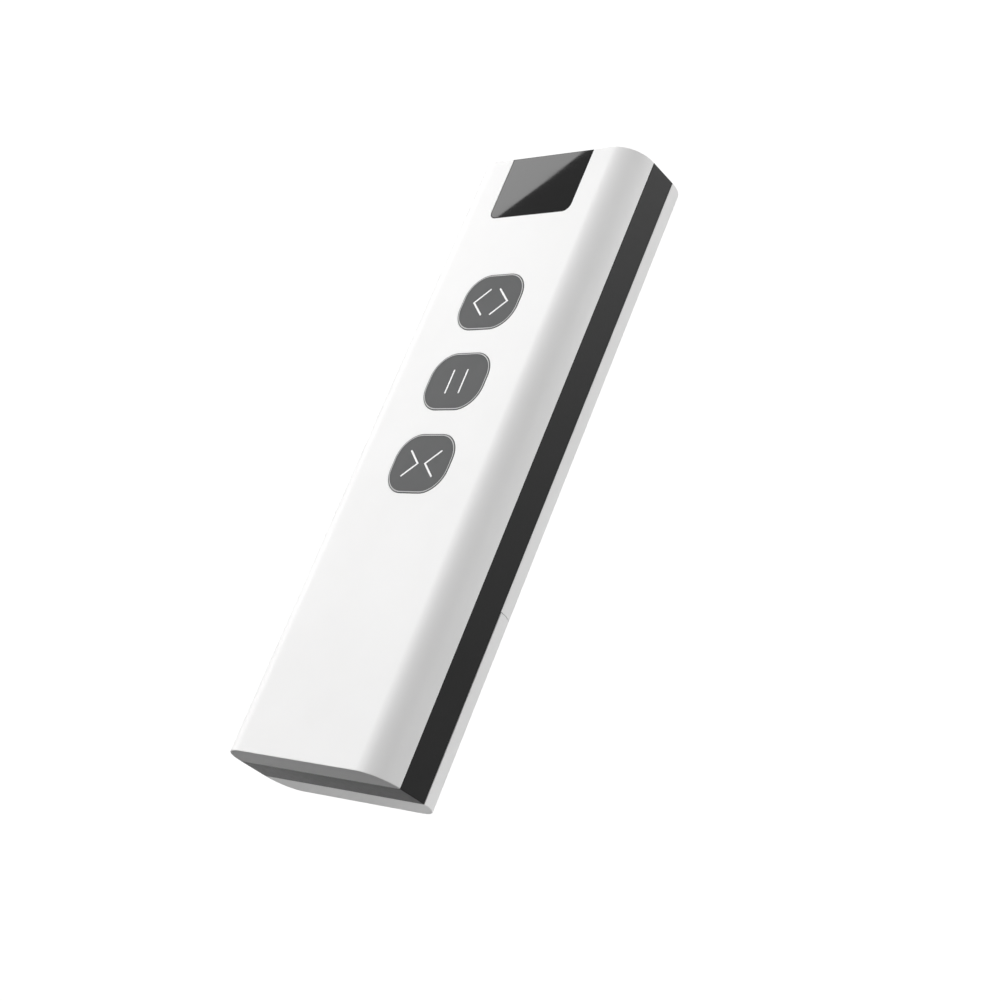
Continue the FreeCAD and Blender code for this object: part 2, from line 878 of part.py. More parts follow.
def cross_recess(x, y, z):
    long_half = recess_length / 2
    short_half = recess_width / 2
    one = box(x - long_half, x + long_half, y - short_half, y + short_half, z, z + recess_depth)
    two = box(x - short_half, x + short_half, y - long_half, y + long_half, z, z + recess_depth)
    return one.fuse(two)


def flat_screw(x, y, z):
    # The flat head is flush with z, and the shank points up into a boss.
    head_radius = screw_head_diameter / 2
    head = Part.makeCone(head_radius, screw_core_radius, screw_head_height, Vector(x, y, z))
    shank = post(screw_core_radius, x, y, z, deck_top_z + screw_bite)
    return head.fuse(shank).cut(cross_recess(x, y, z))


def board_screw(x, y):
    head_z = board_bottom_z - board_screw_head_height
    head = post(board_screw_head_diameter / 2, x, y, head_z, board_bottom_z)
    shank = post(screw_core_radius, x, y, head_z, board_top_z + board_screw_bite)
    return head.fuse(shank).cut(cross_recess(x, y, head_z))


def every_part():
    parts = {
        "front_shell": front_shell(),
        "mid_frame": mid_frame(),
        "rear_shell": rear_shell(),
        "battery_cover": battery_cover(),
        "window_lens": window_lens(),
        "lens_tape": lens_tape(),
        "light_guide": light_guide(),
        "indicator_lamp": indicator_lamp(),
        "circuit_board": circuit_board(),
        "antenna_track": antenna_track(),
        "small_chips": small_chips(),
        "battery_tray": battery_tray(),
        "positive_contact": positive_contact(),
        "negative_contact": negative_contact(),
        "battery_cell": battery_cell(),
        "battery_terminal": battery_terminal(),
    }
    radio_y = board_end_y - controller_inset
    parts["radio_controller"] = board_block(
        controller_x, radio_y, controller_size, controller_size, controller_height
    )
    parts["crystal"] = board_block(
        crystal_x, radio_y, crystal_width, crystal_depth, crystal_height
    )
    for name, y in zip(key_names, key_places):
        parts["key_" + name] = key(name, y)
        parts["symbol_" + name] = symbol(name, y)
        parts["switch_base_" + name] = switch_base(y)
        parts["switch_plate_" + name] = switch_cover_plate(y)
        parts["switch_plunger_" + name] = switch_plunger(y)
        parts["switch_dome_" + name] = snap_dome(y)
    parts["housing_screws"] = Part.makeCompound(
        [flat_screw(x, y, ear_bottom_z) for x, y in ear_screw_places]
    )
    parts["tray_screws"] = Part.makeCompound(
        [flat_screw(x, y, deck_bottom_z) for x, y in tray_screw_places]
    )
    parts["board_screws"] = Part.makeCompound(
        [board_screw(x, y) for x, y in board_screw_places]
    )
    return parts


os.makedirs("parts", exist_ok=True)
for node, shape in every_part().items():
    shape = shape.removeSplitter()
    shape.exportStep("parts/" + node + ".step")
    print(node, len(shape.Solids), "valid" if shape.isValid() else "NOT VALID", round(shape.Volume, 2))
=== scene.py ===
import json
from math import atan2, hypot, pi, radians

import bmesh
import bpy
from mathutils import Matrix, Vector

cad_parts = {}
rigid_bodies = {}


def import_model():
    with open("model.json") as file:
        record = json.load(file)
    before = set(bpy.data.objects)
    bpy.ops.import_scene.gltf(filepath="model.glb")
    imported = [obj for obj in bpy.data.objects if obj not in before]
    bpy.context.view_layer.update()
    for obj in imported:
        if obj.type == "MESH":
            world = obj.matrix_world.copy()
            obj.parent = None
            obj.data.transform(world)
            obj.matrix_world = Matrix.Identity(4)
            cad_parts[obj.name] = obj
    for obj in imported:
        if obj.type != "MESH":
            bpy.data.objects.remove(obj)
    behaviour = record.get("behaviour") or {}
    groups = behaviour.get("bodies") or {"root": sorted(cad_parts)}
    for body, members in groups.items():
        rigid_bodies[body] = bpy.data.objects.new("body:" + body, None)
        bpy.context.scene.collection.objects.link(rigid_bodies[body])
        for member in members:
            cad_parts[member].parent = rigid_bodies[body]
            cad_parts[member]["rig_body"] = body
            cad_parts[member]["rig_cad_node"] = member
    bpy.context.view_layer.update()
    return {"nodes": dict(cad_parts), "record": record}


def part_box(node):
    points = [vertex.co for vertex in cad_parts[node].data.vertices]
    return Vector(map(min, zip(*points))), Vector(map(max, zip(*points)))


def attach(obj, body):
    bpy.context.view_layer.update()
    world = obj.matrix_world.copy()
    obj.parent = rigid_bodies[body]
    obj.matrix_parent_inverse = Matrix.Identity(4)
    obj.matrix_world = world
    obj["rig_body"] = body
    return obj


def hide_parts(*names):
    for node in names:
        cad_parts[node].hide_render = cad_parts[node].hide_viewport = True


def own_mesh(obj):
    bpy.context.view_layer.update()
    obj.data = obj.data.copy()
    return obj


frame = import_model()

# A handheld curtain remote. It keeps the frame's axes: +X across it, +Y towards the dark
# window, +Z up through the keys. Everything is in metres, so sizes are written times mm.

mm = 0.001
near = 0.02 * mm  # how close two places are when they count as the same
merge = 0.0005 * mm  # corners closer than this become one
sink = 0.3 * mm  # how far a joined block reaches into the piece that it joins
shy = 0.01 * mm  # keeps the faces of joined blocks out of one plane
past = 1.0 * mm  # how far a cutting block reaches past a surface

body = {
    "rearSeam": 5.8 * mm,  # where the band starts, above the flat back
    "frontSeam": 12.3 * mm,
    "frontRound": 5.8 * mm,
    "rearRound": 5.5 * mm,
    "roundSteps": 26,
    "frontWall": 1.8 * mm,
    "rearWall": 1.6 * mm,
    "endBreak": 0.15 * mm,
    "seamBreak": 0.2 * mm,
    "rearSeamBreak": 0.14 * mm,
    "bossRadius": 2.5 * mm,
    "screwHole": 1.0 * mm,
    "deckThickness": 1.2 * mm,  # the floor of the battery tray
}

halfWidth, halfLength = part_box("mid_frame")[1].xy
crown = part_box("window_lens")[1].z
ceiling = crown - body["frontWall"]
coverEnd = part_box("battery_cover")[1].y
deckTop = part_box("battery_tray")[0].z + body["deckThickness"]
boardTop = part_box("circuit_board")[1].z
keyNames = ["open", "pause", "close"]


# Working in edit mode

def clearSelection():
    if bpy.context.object and bpy.context.object.mode != "OBJECT":
        bpy.ops.object.mode_set(mode="OBJECT")
    bpy.ops.object.select_all(action="DESELECT")


def takeUp(piece):  # the one selected and active object
    clearSelection()
    piece.select_set(True)
    bpy.context.view_layer.objects.active = piece
    return piece


def startEditing(piece):
    takeUp(piece)
    bpy.ops.object.mode_set(mode="EDIT")


def stopEditing():
    bpy.ops.object.mode_set(mode="OBJECT")


def pickFaces(piece, test):  # test(middle, normal)
    bpy.ops.mesh.select_mode(type="FACE")
    bpy.ops.mesh.select_all(action="DESELECT")
    mesh = bmesh.from_edit_mesh(piece.data)
    for face in mesh.faces:
        if test(face.calc_center_median(), face.normal):
            face.select_set(True)
    bmesh.update_edit_mesh(piece.data)


def pickEdges(piece, test):  # test(one end, other end)
    bpy.ops.mesh.select_mode(type="EDGE")
    bpy.ops.mesh.select_all(action="DESELECT")
    mesh = bmesh.from_edit_mesh(piece.data)
    for edge in mesh.edges:
        if test(edge.verts[0].co, edge.verts[1].co):
            edge.select_set(True)
    bmesh.update_edit_mesh(piece.data)


def same(a, b):
    return abs(a - b) < near


def both(a, b, axis, place):  # both ends lie at that place along the axis
    return same(a[axis], place) and same(b[axis], place)


def alongY(a, b):
    return same(a.x, b.x) and same(a.z, b.z)


def upright(a, b):
    return same(a.x, b.x) and same(a.y, b.y)


def facesUp(middle, normal):
    return normal.z > 0.9


def facesDown(middle, normal):
    return normal.z < -0.9


def facesUpOrDown(middle, normal):
    return abs(normal.z) > 0.9


def roundEdges(size, steps=3):
    bpy.ops.mesh.bevel(offset=size, segments=steps, profile=0.5, affect="EDGES")


def addBlock(name, low, high):
    clearSelection()
    low, high = Vector(low), Vector(high)
    bpy.ops.mesh.primitive_cube_add(size=1, location=(low + high) / 2)
    piece = bpy.context.object
    piece.name = piece.data.name = name
    piece.scale = high - low
    bpy.ops.object.transform_apply(location=True, rotation=True, scale=True)
    return piece


def addPost(name, x, y, radius, low, high, sides=40):
    clearSelection()
    middle = (x, y, (low + high) / 2)
    bpy.ops.mesh.primitive_cylinder_add(vertices=sides, radius=radius, depth=high - low, location=middle)
    piece = bpy.context.object
    piece.name = piece.data.name = name
    bpy.ops.object.transform_apply(location=True, rotation=True, scale=True)
    return piece


def addBoss(x, y, low, high, depth):  # a post with a blind screw hole in its lower end
    boss = addPost("boss", x, y, body["bossRadius"], low, high)
    startEditing(boss)
    pickFaces(boss, facesDown)
    bpy.ops.mesh.inset(thickness=body["bossRadius"] - body["screwHole"])
    bpy.ops.mesh.extrude_region_move(TRANSFORM_OT_translate={"value": (0, 0, depth)})
    stopEditing()
    return boss


def addSlab(name, middle, size, corner, low, high, steps=12):  # a block with round upright edges
    x, y = middle
    a, b = size[0] / 2, size[1] / 2
    piece = addBlock(name, (x - a, y - b, low), (x + a, y + b, high))
    startEditing(piece)
    pickEdges(piece, upright)
    roundEdges(corner, steps)
    stopEditing()
    return piece


def combine(piece, tools, how="DIFFERENCE"):
    for tool in tools:
        takeUp(piece)
        change = piece.modifiers.new("combine", "BOOLEAN")
        change.operation = how
        change.solver = "EXACT"
        change.object = tool
        bpy.ops.object.modifier_apply(modifier=change.name)
        bpy.data.objects.remove(tool, do_unlink=True)


def thicken(piece, wall):  # inwards, with the open side left open
    takeUp(piece)
    change = piece.modifiers.new("wall", "SOLIDIFY")
    change.thickness = wall
    change.offset = -1
    change.use_even_offset = True
    bpy.ops.object.modifier_apply(modifier=change.name)


def finishShape(piece, angle=35):  # clean mesh, outward faces, even shading
    startEditing(piece)
    bpy.ops.mesh.select_all(action="SELECT")
    bpy.ops.mesh.remove_doubles(threshold=merge)
    bpy.ops.mesh.normals_make_consistent(inside=False)
    if bmesh.from_edit_mesh(piece.data).calc_volume(signed=True) < 0:
        bpy.ops.mesh.flip_normals()
    stopEditing()
    bpy.ops.object.shade_smooth_by_angle(angle=radians(angle))
    change = piece.modifiers.new("evenShading", "WEIGHTED_NORMAL")
    change.keep_sharp = True
    change.weight = 80
    bpy.ops.object.modifier_apply(modifier=change.name)
    return piece


def copyOf(piece, name, shift=(0, 0, 0)):  # each copy has its own mesh
    takeUp(piece)
    bpy.ops.object.duplicate(linked=False)
    copied = bpy.context.object
    copied.name = copied.data.name = name
    copied.location = shift
    bpy.ops.object.transform_apply(location=True, rotation=True, scale=True)
    return copied


def screwPlaces(node, headRadius):  # the middles of screws that stand at the box's corners
    low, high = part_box(node)
    xs = (low.x + headRadius, high.x - headRadius)
    ys = sorted({round(low.y + headRadius, 5), round(high.y - headRadius, 5)})
    return [(x, y) for x in xs for y in ys]


screws = {"flatHead": 2.0 * mm, "panHead": 1.8 * mm, "bite": 5.8 * mm, "boardBite": 3.5 * mm}
housingScrews = screwPlaces("housing_screws", screws["flatHead"])
trayScrews = screwPlaces("tray_screws", screws["flatHead"])
boardScrews = screwPlaces("board_screws", screws["panHead"])


# Materials

class Wire:  # a node's output, with arithmetic
    def __init__(self, tree, socket=None):
        self.tree = tree
        self.socket = socket

    def node(self, kind, settings=None, inputs=None, out=0):
        made = self.tree.nodes.new(kind)
        for name, value in (settings or {}).items():
            setattr(made, name, value)
        for name, value in (inputs or {}).items():
            if isinstance(value, Wire):
                self.tree.links.new(value.socket, made.inputs[name])
            else:
                made.inputs[name].default_value = value
        return Wire(self.tree, made.outputs[out])

    def maths(self, operation, *others):
        return self.node("ShaderNodeMath", {"operation": operation}, dict(enumerate((self, *others))))

    def __add__(self, other):
        return self.maths("ADD", other)

    __radd__ = __add__

    def __sub__(self, other):
        return self.maths("SUBTRACT", other)

    def __rsub__(self, other):
        return self.node("ShaderNodeMath", {"operation": "SUBTRACT"}, {0: other, 1: self})

    def __mul__(self, other):
        return self.maths("MULTIPLY", other)

    def __truediv__(self, other):
        return self.maths("DIVIDE", other)

    def within(self, low, high):  # 0 below low, 1 above high, smooth between them
        inputs = {"Value": self, "From Min": low, "From Max": high}
        return self.node("ShaderNodeMapRange", {"interpolation_type": "SMOOTHSTEP"}, inputs)

    def between(self, a, b):  # this mask mixes colour a into colour b
        return self.node("ShaderNodeMix", {"data_type": "RGBA"}, {0: self, 6: a, 7: b}, out=2)


def grey(value, warm=0.0):
    return (value * (1 + warm), value, value * (1 - warm), 1)


def startMaterial(name, fixed):
    material = bpy.data.materials.new(name)
    material.use_nodes = True
    shader = material.node_tree.nodes["Principled BSDF"]
    for socket, value in fixed.items():
        shader.inputs[socket].default_value = value
    place = Wire(material.node_tree).node("ShaderNodeTexCoord", out="Object")
    return material, shader, place


def feed(shader, socket, wire):
    wire.tree.links.new(wire.socket, shader.inputs[socket])


def noise(place, scale, detail=2.0, roughness=0.5):
    inputs = {"Vector": place, "Scale": scale, "Detail": detail, "Roughness": roughness}
    return place.node("ShaderNodeTexNoise", inputs=inputs)


def apart(place):
    parts = place.node("ShaderNodeSeparateXYZ", inputs={0: place})
    return [Wire(place.tree, output) for output in parts.socket.node.outputs]


def stretched(place, scale):
    return place.node("ShaderNodeMapping", inputs={"Vector": place, "Scale": scale})


def bump(height, depth):
    return height.node("ShaderNodeBump", inputs={"Height": height, "Distance": depth})


plastic = {  # what the moulded plastics share
    "gloss": 0.5,
    "cloudScale": 38,  # a broad, faint unevenness of shade and gloss
    "cloudTurn": (0.3, 0.7),  # where the cloud turns from the dark to the light shade
    "fleckScale": 0.21,  # as a share of the grain's own scale
    "fleckTurn": (0.35, 0.75),
    "fleckRough": 0.03,
}
whiteLook = {
    **plastic,
    "dark": (0.83, 0.004),  # a shade of grey, and how warm it is
    "light": (0.86, 0.003),
    "rough": 0.42,
    "roughSpread": 0.06,
    "grainScale": 4200,
    "grainDepth": 0.006 * mm,
}
bandLook = {
    **plastic,
    "dark": (0.006,),
    "light": (0.009,),
    "rough": 0.36,
    "roughSpread": 0.08,
    "grainScale": 3600,
    "grainDepth": 0.012 * mm,
    "gloss": 0.3,
}
trayLook = {
    **plastic,
    "dark": (0.05,),
    "light": (0.065,),
    "rough": 0.5,
    "roughSpread": 0.1,
    "grainScale": 2600,
    "grainDepth": 0.02 * mm,
}
blackLook = {
    **plastic,
    "dark": (0.02,),
    "light": (0.03,),
    "rough": 0.45,
    "roughSpread": 0.1,
    "grainScale": 3000,
    "grainDepth": 0.012 * mm,
}
lensEdgeLook = {**blackLook, "dark": (0.008,), "light": (0.012,), "gloss": 0.1}
symbolLook = {
    **plastic,
    "dark": (0.93,),
    "light": (0.95,),
    "rough": 0.35,
    "roughSpread": 0.04,
    "grainScale": 5000,
    "grainDepth": 0.002 * mm,
}
lampLook = {**symbolLook, "dark": (0.8, 0.08), "light": (0.85, 0.06)}
guideLook = {**symbolLook, "rough": 0.08}
# the light grey of the keys' bright line is a painted highlight of the cap's glossy edge
rimHighlightLook = {
    **plastic,
    "dark": (0.42,),
    "light": (0.46,),
    "rough": 0.3,
    "roughSpread": 0.05,
    "grainScale": 5200,
    "grainDepth": 0.002 * mm,
}
keyLook = {
    **plastic,
    "dark": (0.070, -0.02),
    "light": (0.078, -0.02),
    "rough": 0.5,
    "roughSpread": 0.08,
    "grainScale": 5200,
    "grainDepth": 0.004 * mm,
    "gloss": 0.25,
    "cloudScale": 160,
    "fleckRough": 0.0,
}


def mouldedPlastic(name, look):
    material, shader, place = startMaterial(name, {"Specular IOR Level": look["gloss"]})
    cloud = noise(place, look["cloudScale"], detail=3)
    grain = noise(place, look["grainScale"], detail=1.5)
    fleck = noise(place, look["grainScale"] * look["fleckScale"]).within(*look["fleckTurn"])
    shade = cloud.within(*look["cloudTurn"]).between(grey(*look["dark"]), grey(*look["light"]))
    feed(shader, "Base Color", shade)
    rough = look["rough"] + (cloud - 0.5) * look["roughSpread"] + fleck * look["fleckRough"]
    feed(shader, "Roughness", rough)
    feed(shader, "Normal", bump(grain, look["grainDepth"]))
    return material


lensLook = {
    "dark": 0.004,
    "light": 0.006,
    "rough": 0.017,
    "gloss": 0.5,
    "smear": (60, 190, 60),  # wipe marks, shorter along the body than across it
    "shadeTurn": (0.3, 0.7),
    "smearTurn": (0.45, 0.75),
    "smearRough": 0.012,
    "dustScale": 2600,
    "dustTurn": (0.68, 0.8),
    "dustRough": 0.03,
}


def smokedGloss(name, look):
    fixed = {"Specular IOR Level": look["gloss"], "IOR": 1.5}
    material, shader, place = startMaterial(name, fixed)
    smear = noise(stretched(place, look["smear"]), 1, detail=4, roughness=0.6)
    dust = noise(place, look["dustScale"]).within(*look["dustTurn"])
    shade = smear.within(*look["shadeTurn"]).between(grey(look["dark"]), grey(look["light"]))
    feed(shader, "Base Color", shade)
    wiped = smear.within(*look["smearTurn"]) * look["smearRough"]
    feed(shader, "Roughness", look["rough"] + wiped + dust * look["dustRough"])
    return material


metal = {  # what the metals share
    "brushRough": 0.12,
    "brushDepth": 0.003 * mm,
    "spotScale": 900,
    "spotTurn": (0.35, 0.7),
    "spotShade": 0.8,
    "dullTurn": (0.5, 0.8),
    "dullRough": 0.08,
}
platedLook = {**metal, "colour": (0.68, 0.67, 0.64, 1), "rough": 0.2, "brush": (400, 60, 400)}
screwLook = {**metal, "colour": (0.30, 0.30, 0.31, 1), "rough": 0.28, "brush": (300, 300, 300)}
copperLook = {**metal, "colour": (0.80, 0.44, 0.25, 1), "rough": 0.3, "brush": (200, 200, 200)}


def brushedMetal(name, look):
    material, shader, place = startMaterial(name, {"Metallic": 1.0})
    brush = noise(stretched(place, look["brush"]), 1, detail=3, roughness=0.6)
    spots = noise(place, look["spotScale"], detail=3)
    worn = tuple(channel * look["spotShade"] for channel in look["colour"][:3]) + (1,)
    feed(shader, "Base Color", spots.within(*look["spotTurn"]).between(look["colour"], worn))
    dull = spots.within(*look["dullTurn"]) * look["dullRough"]
    feed(shader, "Roughness", look["rough"] + brush * look["brushRough"] + dull)
    feed(shader, "Normal", bump(brush, look["brushDepth"]))
    return material


sleeveLook = {
    "dark": (0.016, 0.018, 0.024, 1),
    "light": (0.024, 0.027, 0.036, 1),
    "stripe": (0.75, 0.48, 0.10, 1),
    "stripeStart": -38.5 * mm,
    "stripeEnd": -36.0 * mm,
    "stripeEdge": 0.1 * mm,
    "rough": 0.28,
    "roughSpread": 0.12,
    "coat": 0.4,
    "coatSpread": 0.2,
    "coatRough": 0.15,
    "cloudScale": 120,
    "cloudTurn": (0.3, 0.7),
    "creaseScale": 700,
    "creaseDepth": 0.01 * mm,
}


def cellSleeve(name, look):  # a plain shrink sleeve with an amber stripe near the cap
    material, shader, place = startMaterial(name, {"Coat Roughness": look["coatRough"]})
    y = apart(place)[1]
    stripe = y.within(look["stripeStart"], look["stripeStart"] + look["stripeEdge"])
    stripe = stripe - y.within(look["stripeEnd"], look["stripeEnd"] + look["stripeEdge"])
    cloud = noise(place, look["cloudScale"], detail=3)
    base = cloud.within(*look["cloudTurn"]).between(look["dark"], look["light"])
    feed(shader, "Base Color", stripe.between(base, look["stripe"]))
    feed(shader, "Roughness", look["rough"] + cloud * look["roughSpread"])
    feed(shader, "Coat Weight", look["coat"] + cloud * look["coatSpread"])
    feed(shader, "Normal", bump(noise(place, look["creaseScale"]), look["creaseDepth"]))
    return material


boardLook = {
    "mask": (0.012, 0.11, 0.045, 1),
    "copper": (0.03, 0.19, 0.08, 1),
    "lane": 1.1 * mm,  # from one track to the next
    "trackHalf": 0.14,  # half a track's width, as a share of the lane
    "trackHeight": 0.03 * mm,
    "patchScale": 130,  # patches of tracks across the board, and of tracks along it
    "patchTurn": (0.49, 0.51),
    "gloss": 0.6,
    "rough": 0.32,
    "roughSpread": 0.15,
    "roughScale": 500,
}


def boardMaterial(name, look):  # solder mask with tracks of copper under it
    material, shader, place = startMaterial(name, {"Specular IOR Level": look["gloss"]})
    x, y = apart(place)[:2]
    along = (x / look["lane"]).maths("PINGPONG", 0.5).maths("LESS_THAN", look["trackHalf"])
    across = (y / look["lane"]).maths("PINGPONG", 0.5).maths("LESS_THAN", look["trackHalf"])
    pick = noise(place, look["patchScale"], detail=0).within(*look["patchTurn"])
    track = along * pick + across * (1 - pick)
    feed(shader, "Base Color", track.between(look["mask"], look["copper"]))
    feed(shader, "Roughness", look["rough"] + noise(place, look["roughScale"]) * look["roughSpread"])
    feed(shader, "Normal", bump(track, look["trackHeight"]))
    return material


finishes = {
    "white_shell": mouldedPlastic("whiteShell", whiteLook),
    "dark_band": mouldedPlastic("darkBand", bandLook),
    "tray_grey": mouldedPlastic("trayGrey", trayLook),
    "switch_black": mouldedPlastic("switchBlack", blackLook),
    "chip_black": mouldedPlastic("chipBlack", blackLook),
    "plunger_black": mouldedPlastic("plungerBlack", blackLook),
    "black_tape": mouldedPlastic("blackTape", blackLook),
    "symbol_white": mouldedPlastic("symbolWhite", symbolLook),
    "lamp_body": mouldedPlastic("lampBody", lampLook),
    "clear_guide": mouldedPlastic("clearGuide", guideLook),
    "key_grey": mouldedPlastic("keyGrey", keyLook),
    "dark_lens": smokedGloss("smokedLens", lensLook),
    "plated_steel": brushedMetal("platedSteel", platedLook),
    "screw_steel": brushedMetal("screwSteel", screwLook),
    "copper_track": brushedMetal("copperTrack", copperLook),
    "cell_sleeve": cellSleeve("cellSleeve", sleeveLook),
    "board_green": boardMaterial("boardGreen", boardLook),
}
# painted highlight: the light grey that the keys' bright line gets
rimHighlightFinish = mouldedPlastic("keyRimPaintedHighlight", rimHighlightLook)
lensEdgeFinish = mouldedPlastic("lensEdge", lensEdgeLook)
print("finishes made for", len(finishes), "slots")


def dress(piece, slot, bodyName, *nodes):  # gives a new piece its finish and its body, and hides the nodes that it is drawn in place of
    piece.data.materials.clear()
    piece.data.materials.append(finishes[slot])
    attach(piece, bodyName)
    if nodes:
        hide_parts(*nodes)


# Front shell

frontShell = {
    "keyGap": 0.12 * mm,
    "keyMouth": 0.1 * mm,
    "mouthReach": 0.5 * mm,  # how far past a key's cap the mouth's edges are looked for
    "lensGap": 0.06 * mm,
    "lensCorner": 1.7 * mm,
    "padMargin": 1.5 * mm,
    "padThickness": 1.0 * mm,
    "lightHole": 1.45 * mm,
    "clipY": 21.5 * mm,
    "keyFlange": 0.9 * mm,
    "keyCorner": 5.1 * mm,
    "keySteps": 14,
}
clip = {  # the spring arms of both shells
    "x": 18.0 * mm,
    "width": 5.0 * mm,
    "thickness": 1.0 * mm,
    "hook": 0.6 * mm,
    "hookHeight": 0.8 * mm,
}


def keySize(name):  # middle and size of a key's cap, without its flange
    low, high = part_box("key_" + name)
    flange = frontShell["keyFlange"]
    middle = ((low.x + high.x) / 2, (low.y + high.y) / 2)
    return middle, (high.x - low.x - 2 * flange, high.y - low.y - 2 * flange)


def clipArms(y, rootZ, tipZ, look):  # two spring arms with hooks, as blocks
    arms = []
    x, half = look["x"], look["width"] / 2
    way = 1 if tipZ > rootZ else -1
    for side in (-1, 1):
        left, right = sorted((side * (x - look["thickness"]), side * x))
        low, high = sorted((rootZ, tipZ))
        arms.append(addBlock("clip", (left, y - half, low), (right, y + half, high)))
        tipX = side * (x + look["hook"])
        left, right = sorted((side * (x - look["thickness"] / 2), tipX))
        low, high = sorted((tipZ - way * look["hookHeight"], tipZ))
        hook = addBlock("clip", (left, y - half, low), (right, y + half, high))
        startEditing(hook)
        pickEdges(hook, lambda a, b: alongY(a, b) and both(a, b, 0, tipX))
        roundEdges(look["hook"] / 2)
        stopEditing()
        arms.append(hook)
    return arms


def makeFrontShell(look):
    low = (-halfWidth, -halfLength, body["frontSeam"])
    shell = addBlock("front_case", low, (halfWidth, halfLength, crown))
    startEditing(shell)
    pickEdges(shell, lambda a, b: alongY(a, b) and both(a, b, 2, crown))
    roundEdges(body["frontRound"], body["roundSteps"])
    pickFaces(shell, facesDown)
    bpy.ops.mesh.delete(type="ONLY_FACE")
    stopEditing()
    thicken(shell, body["frontWall"])
    startEditing(shell)
    seam = body["frontSeam"]
    pickEdges(shell, lambda a, b: alongY(a, b) and both(a, b, 2, seam) and same(abs(a.x), halfWidth))
    roundEdges(body["seamBreak"], steps=2)
    for end in (-halfLength, halfLength):
        pickEdges(shell, lambda a, b: both(a, b, 1, end) and not both(a, b, 2, seam))
        roundEdges(body["endBreak"])
    stopEditing()

    windowLow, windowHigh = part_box("window_lens")
    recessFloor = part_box("lens_tape")[0].z
    lampY = sum(corner.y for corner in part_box("indicator_lamp")) / 2
    added = []
    for x, y in boardScrews:
        added.append(addBoss(x, y, boardTop, ceiling + sink, screws["boardBite"]))
    for x, y in housingScrews + trayScrews:
        added.append(addBoss(x, y, deckTop, ceiling + sink, screws["bite"]))
    margin = look["padMargin"]
    padLow = (windowLow.x - margin, windowLow.y - margin, recessFloor - look["padThickness"])
    padHigh = (windowHigh.x + margin, halfLength - body["frontWall"] / 2, ceiling + sink)
    added.append(addBlock("pad", padLow, padHigh))
    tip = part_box("front_shell")[0].z
    added += clipArms(look["clipY"], ceiling + sink, tip, clip)
    combine(shell, added, "UNION")

    gap = look["lensGap"]
    depth = 2 * (halfLength - windowLow.y + gap)
    width = windowHigh.x - windowLow.x + 2 * gap
    corner = look["lensCorner"] + gap
    removed = [
        addSlab("recess", (0, halfLength), (width, depth), corner, recessFloor, crown + past),
        addPost("lightHole", 0, lampY, look["lightHole"], recessFloor - 2 * past, crown),
    ]
    gap = look["keyGap"]
    corner = look["keyCorner"] + gap
    for name in keyNames:
        middle, size = keySize(name)
        size = (size[0] + 2 * gap, size[1] + 2 * gap)
        hole = addSlab("keyHole", middle, size, corner, ceiling - past, crown + past, look["keySteps"])
        removed.append(hole)
    combine(shell, removed)

    startEditing(shell)
    for name in keyNames:  # a small round at the mouth of each key hole
        (x, y), size = keySize(name)
        reachX, reachY = (side / 2 + look["mouthReach"] for side in size)

        def atMouth(a, b):
            inside = all(abs(p.x - x) < reachX and abs(p.y - y) < reachY for p in (a, b))
            return inside and both(a, b, 2, crown)

        pickEdges(shell, atMouth)
        roundEdges(look["keyMouth"], steps=2)
    stopEditing()
    finishShape(shell)
    dress(shell, "white_shell", "root", "front_shell")


makeFrontShell(frontShell)
print("front shell made")


# Band between the shells

band = {
    "wall": 3.0 * mm,
    "edgeBreak": 0.12 * mm,
    "lipLand": 1.95 * mm,
    "lipHeight": 1.0 * mm,
    "lipStart": 0.25 * mm,  # from the battery cover's end to the lower lip
    "ribStart": -27.9 * mm,
    "ribThickness": 1.2 * mm,
    "ribTop": 9.5 * mm,
}


def makeBand(look):
    lowZ, highZ = body["rearSeam"], body["frontSeam"]
    ring = addBlock("band_frame", (-halfWidth, -halfLength, lowZ), (halfWidth, halfLength, highZ))
    startEditing(ring)
    pickFaces(ring, facesUpOrDown)
    bpy.ops.mesh.inset(thickness=look["lipLand"])  # the outer land that the shells sit on
    bpy.ops.mesh.inset(thickness=look["wall"] - look["lipLand"])  # the lip's own width
    pickFaces(ring, lambda middle, normal: facesUpOrDown(middle, normal) and middle.xy.length < mm)
    bpy.ops.mesh.delete(type="ONLY_FACE")
    innerX, innerY = halfWidth - look["wall"], halfLength - look["wall"]

    def innerLoop(a, b):
        level = same(a.z, b.z)
        return level and all(abs(p.x) < innerX + near and abs(p.y) < innerY + near for p in (a, b))

    pickEdges(ring, innerLoop)
    bpy.ops.mesh.bridge_edge_loops()
    bpy.ops.mesh.select_all(action="SELECT")
    start = coverEnd + look["lipStart"]
    bpy.ops.mesh.bisect(plane_co=(0, start, 0), plane_no=(0, 1, 0), threshold=near / 20)
    bpy.ops.mesh.normals_make_consistent(inside=False)

    def onLip(middle):
        x, y = abs(middle.x), abs(middle.y)
        return x < halfWidth - look["lipLand"] - near and y < halfLength - look["lipLand"] - near

    pickFaces(ring, lambda middle, normal: facesUp(middle, normal) and onLip(middle))
    bpy.ops.mesh.extrude_region_move(TRANSFORM_OT_translate={"value": (0, 0, look["lipHeight"])})

    def underLip(middle, normal):
        return facesDown(middle, normal) and onLip(middle) and middle.y > start

    pickFaces(ring, underLip)
    bpy.ops.mesh.extrude_region_move(TRANSFORM_OT_translate={"value": (0, 0, -look["lipHeight"])})

    pickEdges(ring, lambda a, b: same(a.x, b.x) and same(abs(a.x), halfWidth))
    roundEdges(look["edgeBreak"], steps=2)
    stopEditing()
    reach = innerX + sink
    ribEnd = look["ribStart"] + look["ribThickness"]
    rib = addBlock("rib", (-reach, look["ribStart"], lowZ), (reach, ribEnd, look["ribTop"]))
    combine(ring, [rib], "UNION")
    finishShape(ring)
    dress(ring, "dark_band", "root", "mid_frame")


makeBand(band)
print("band made")


# Rear shell and battery cover

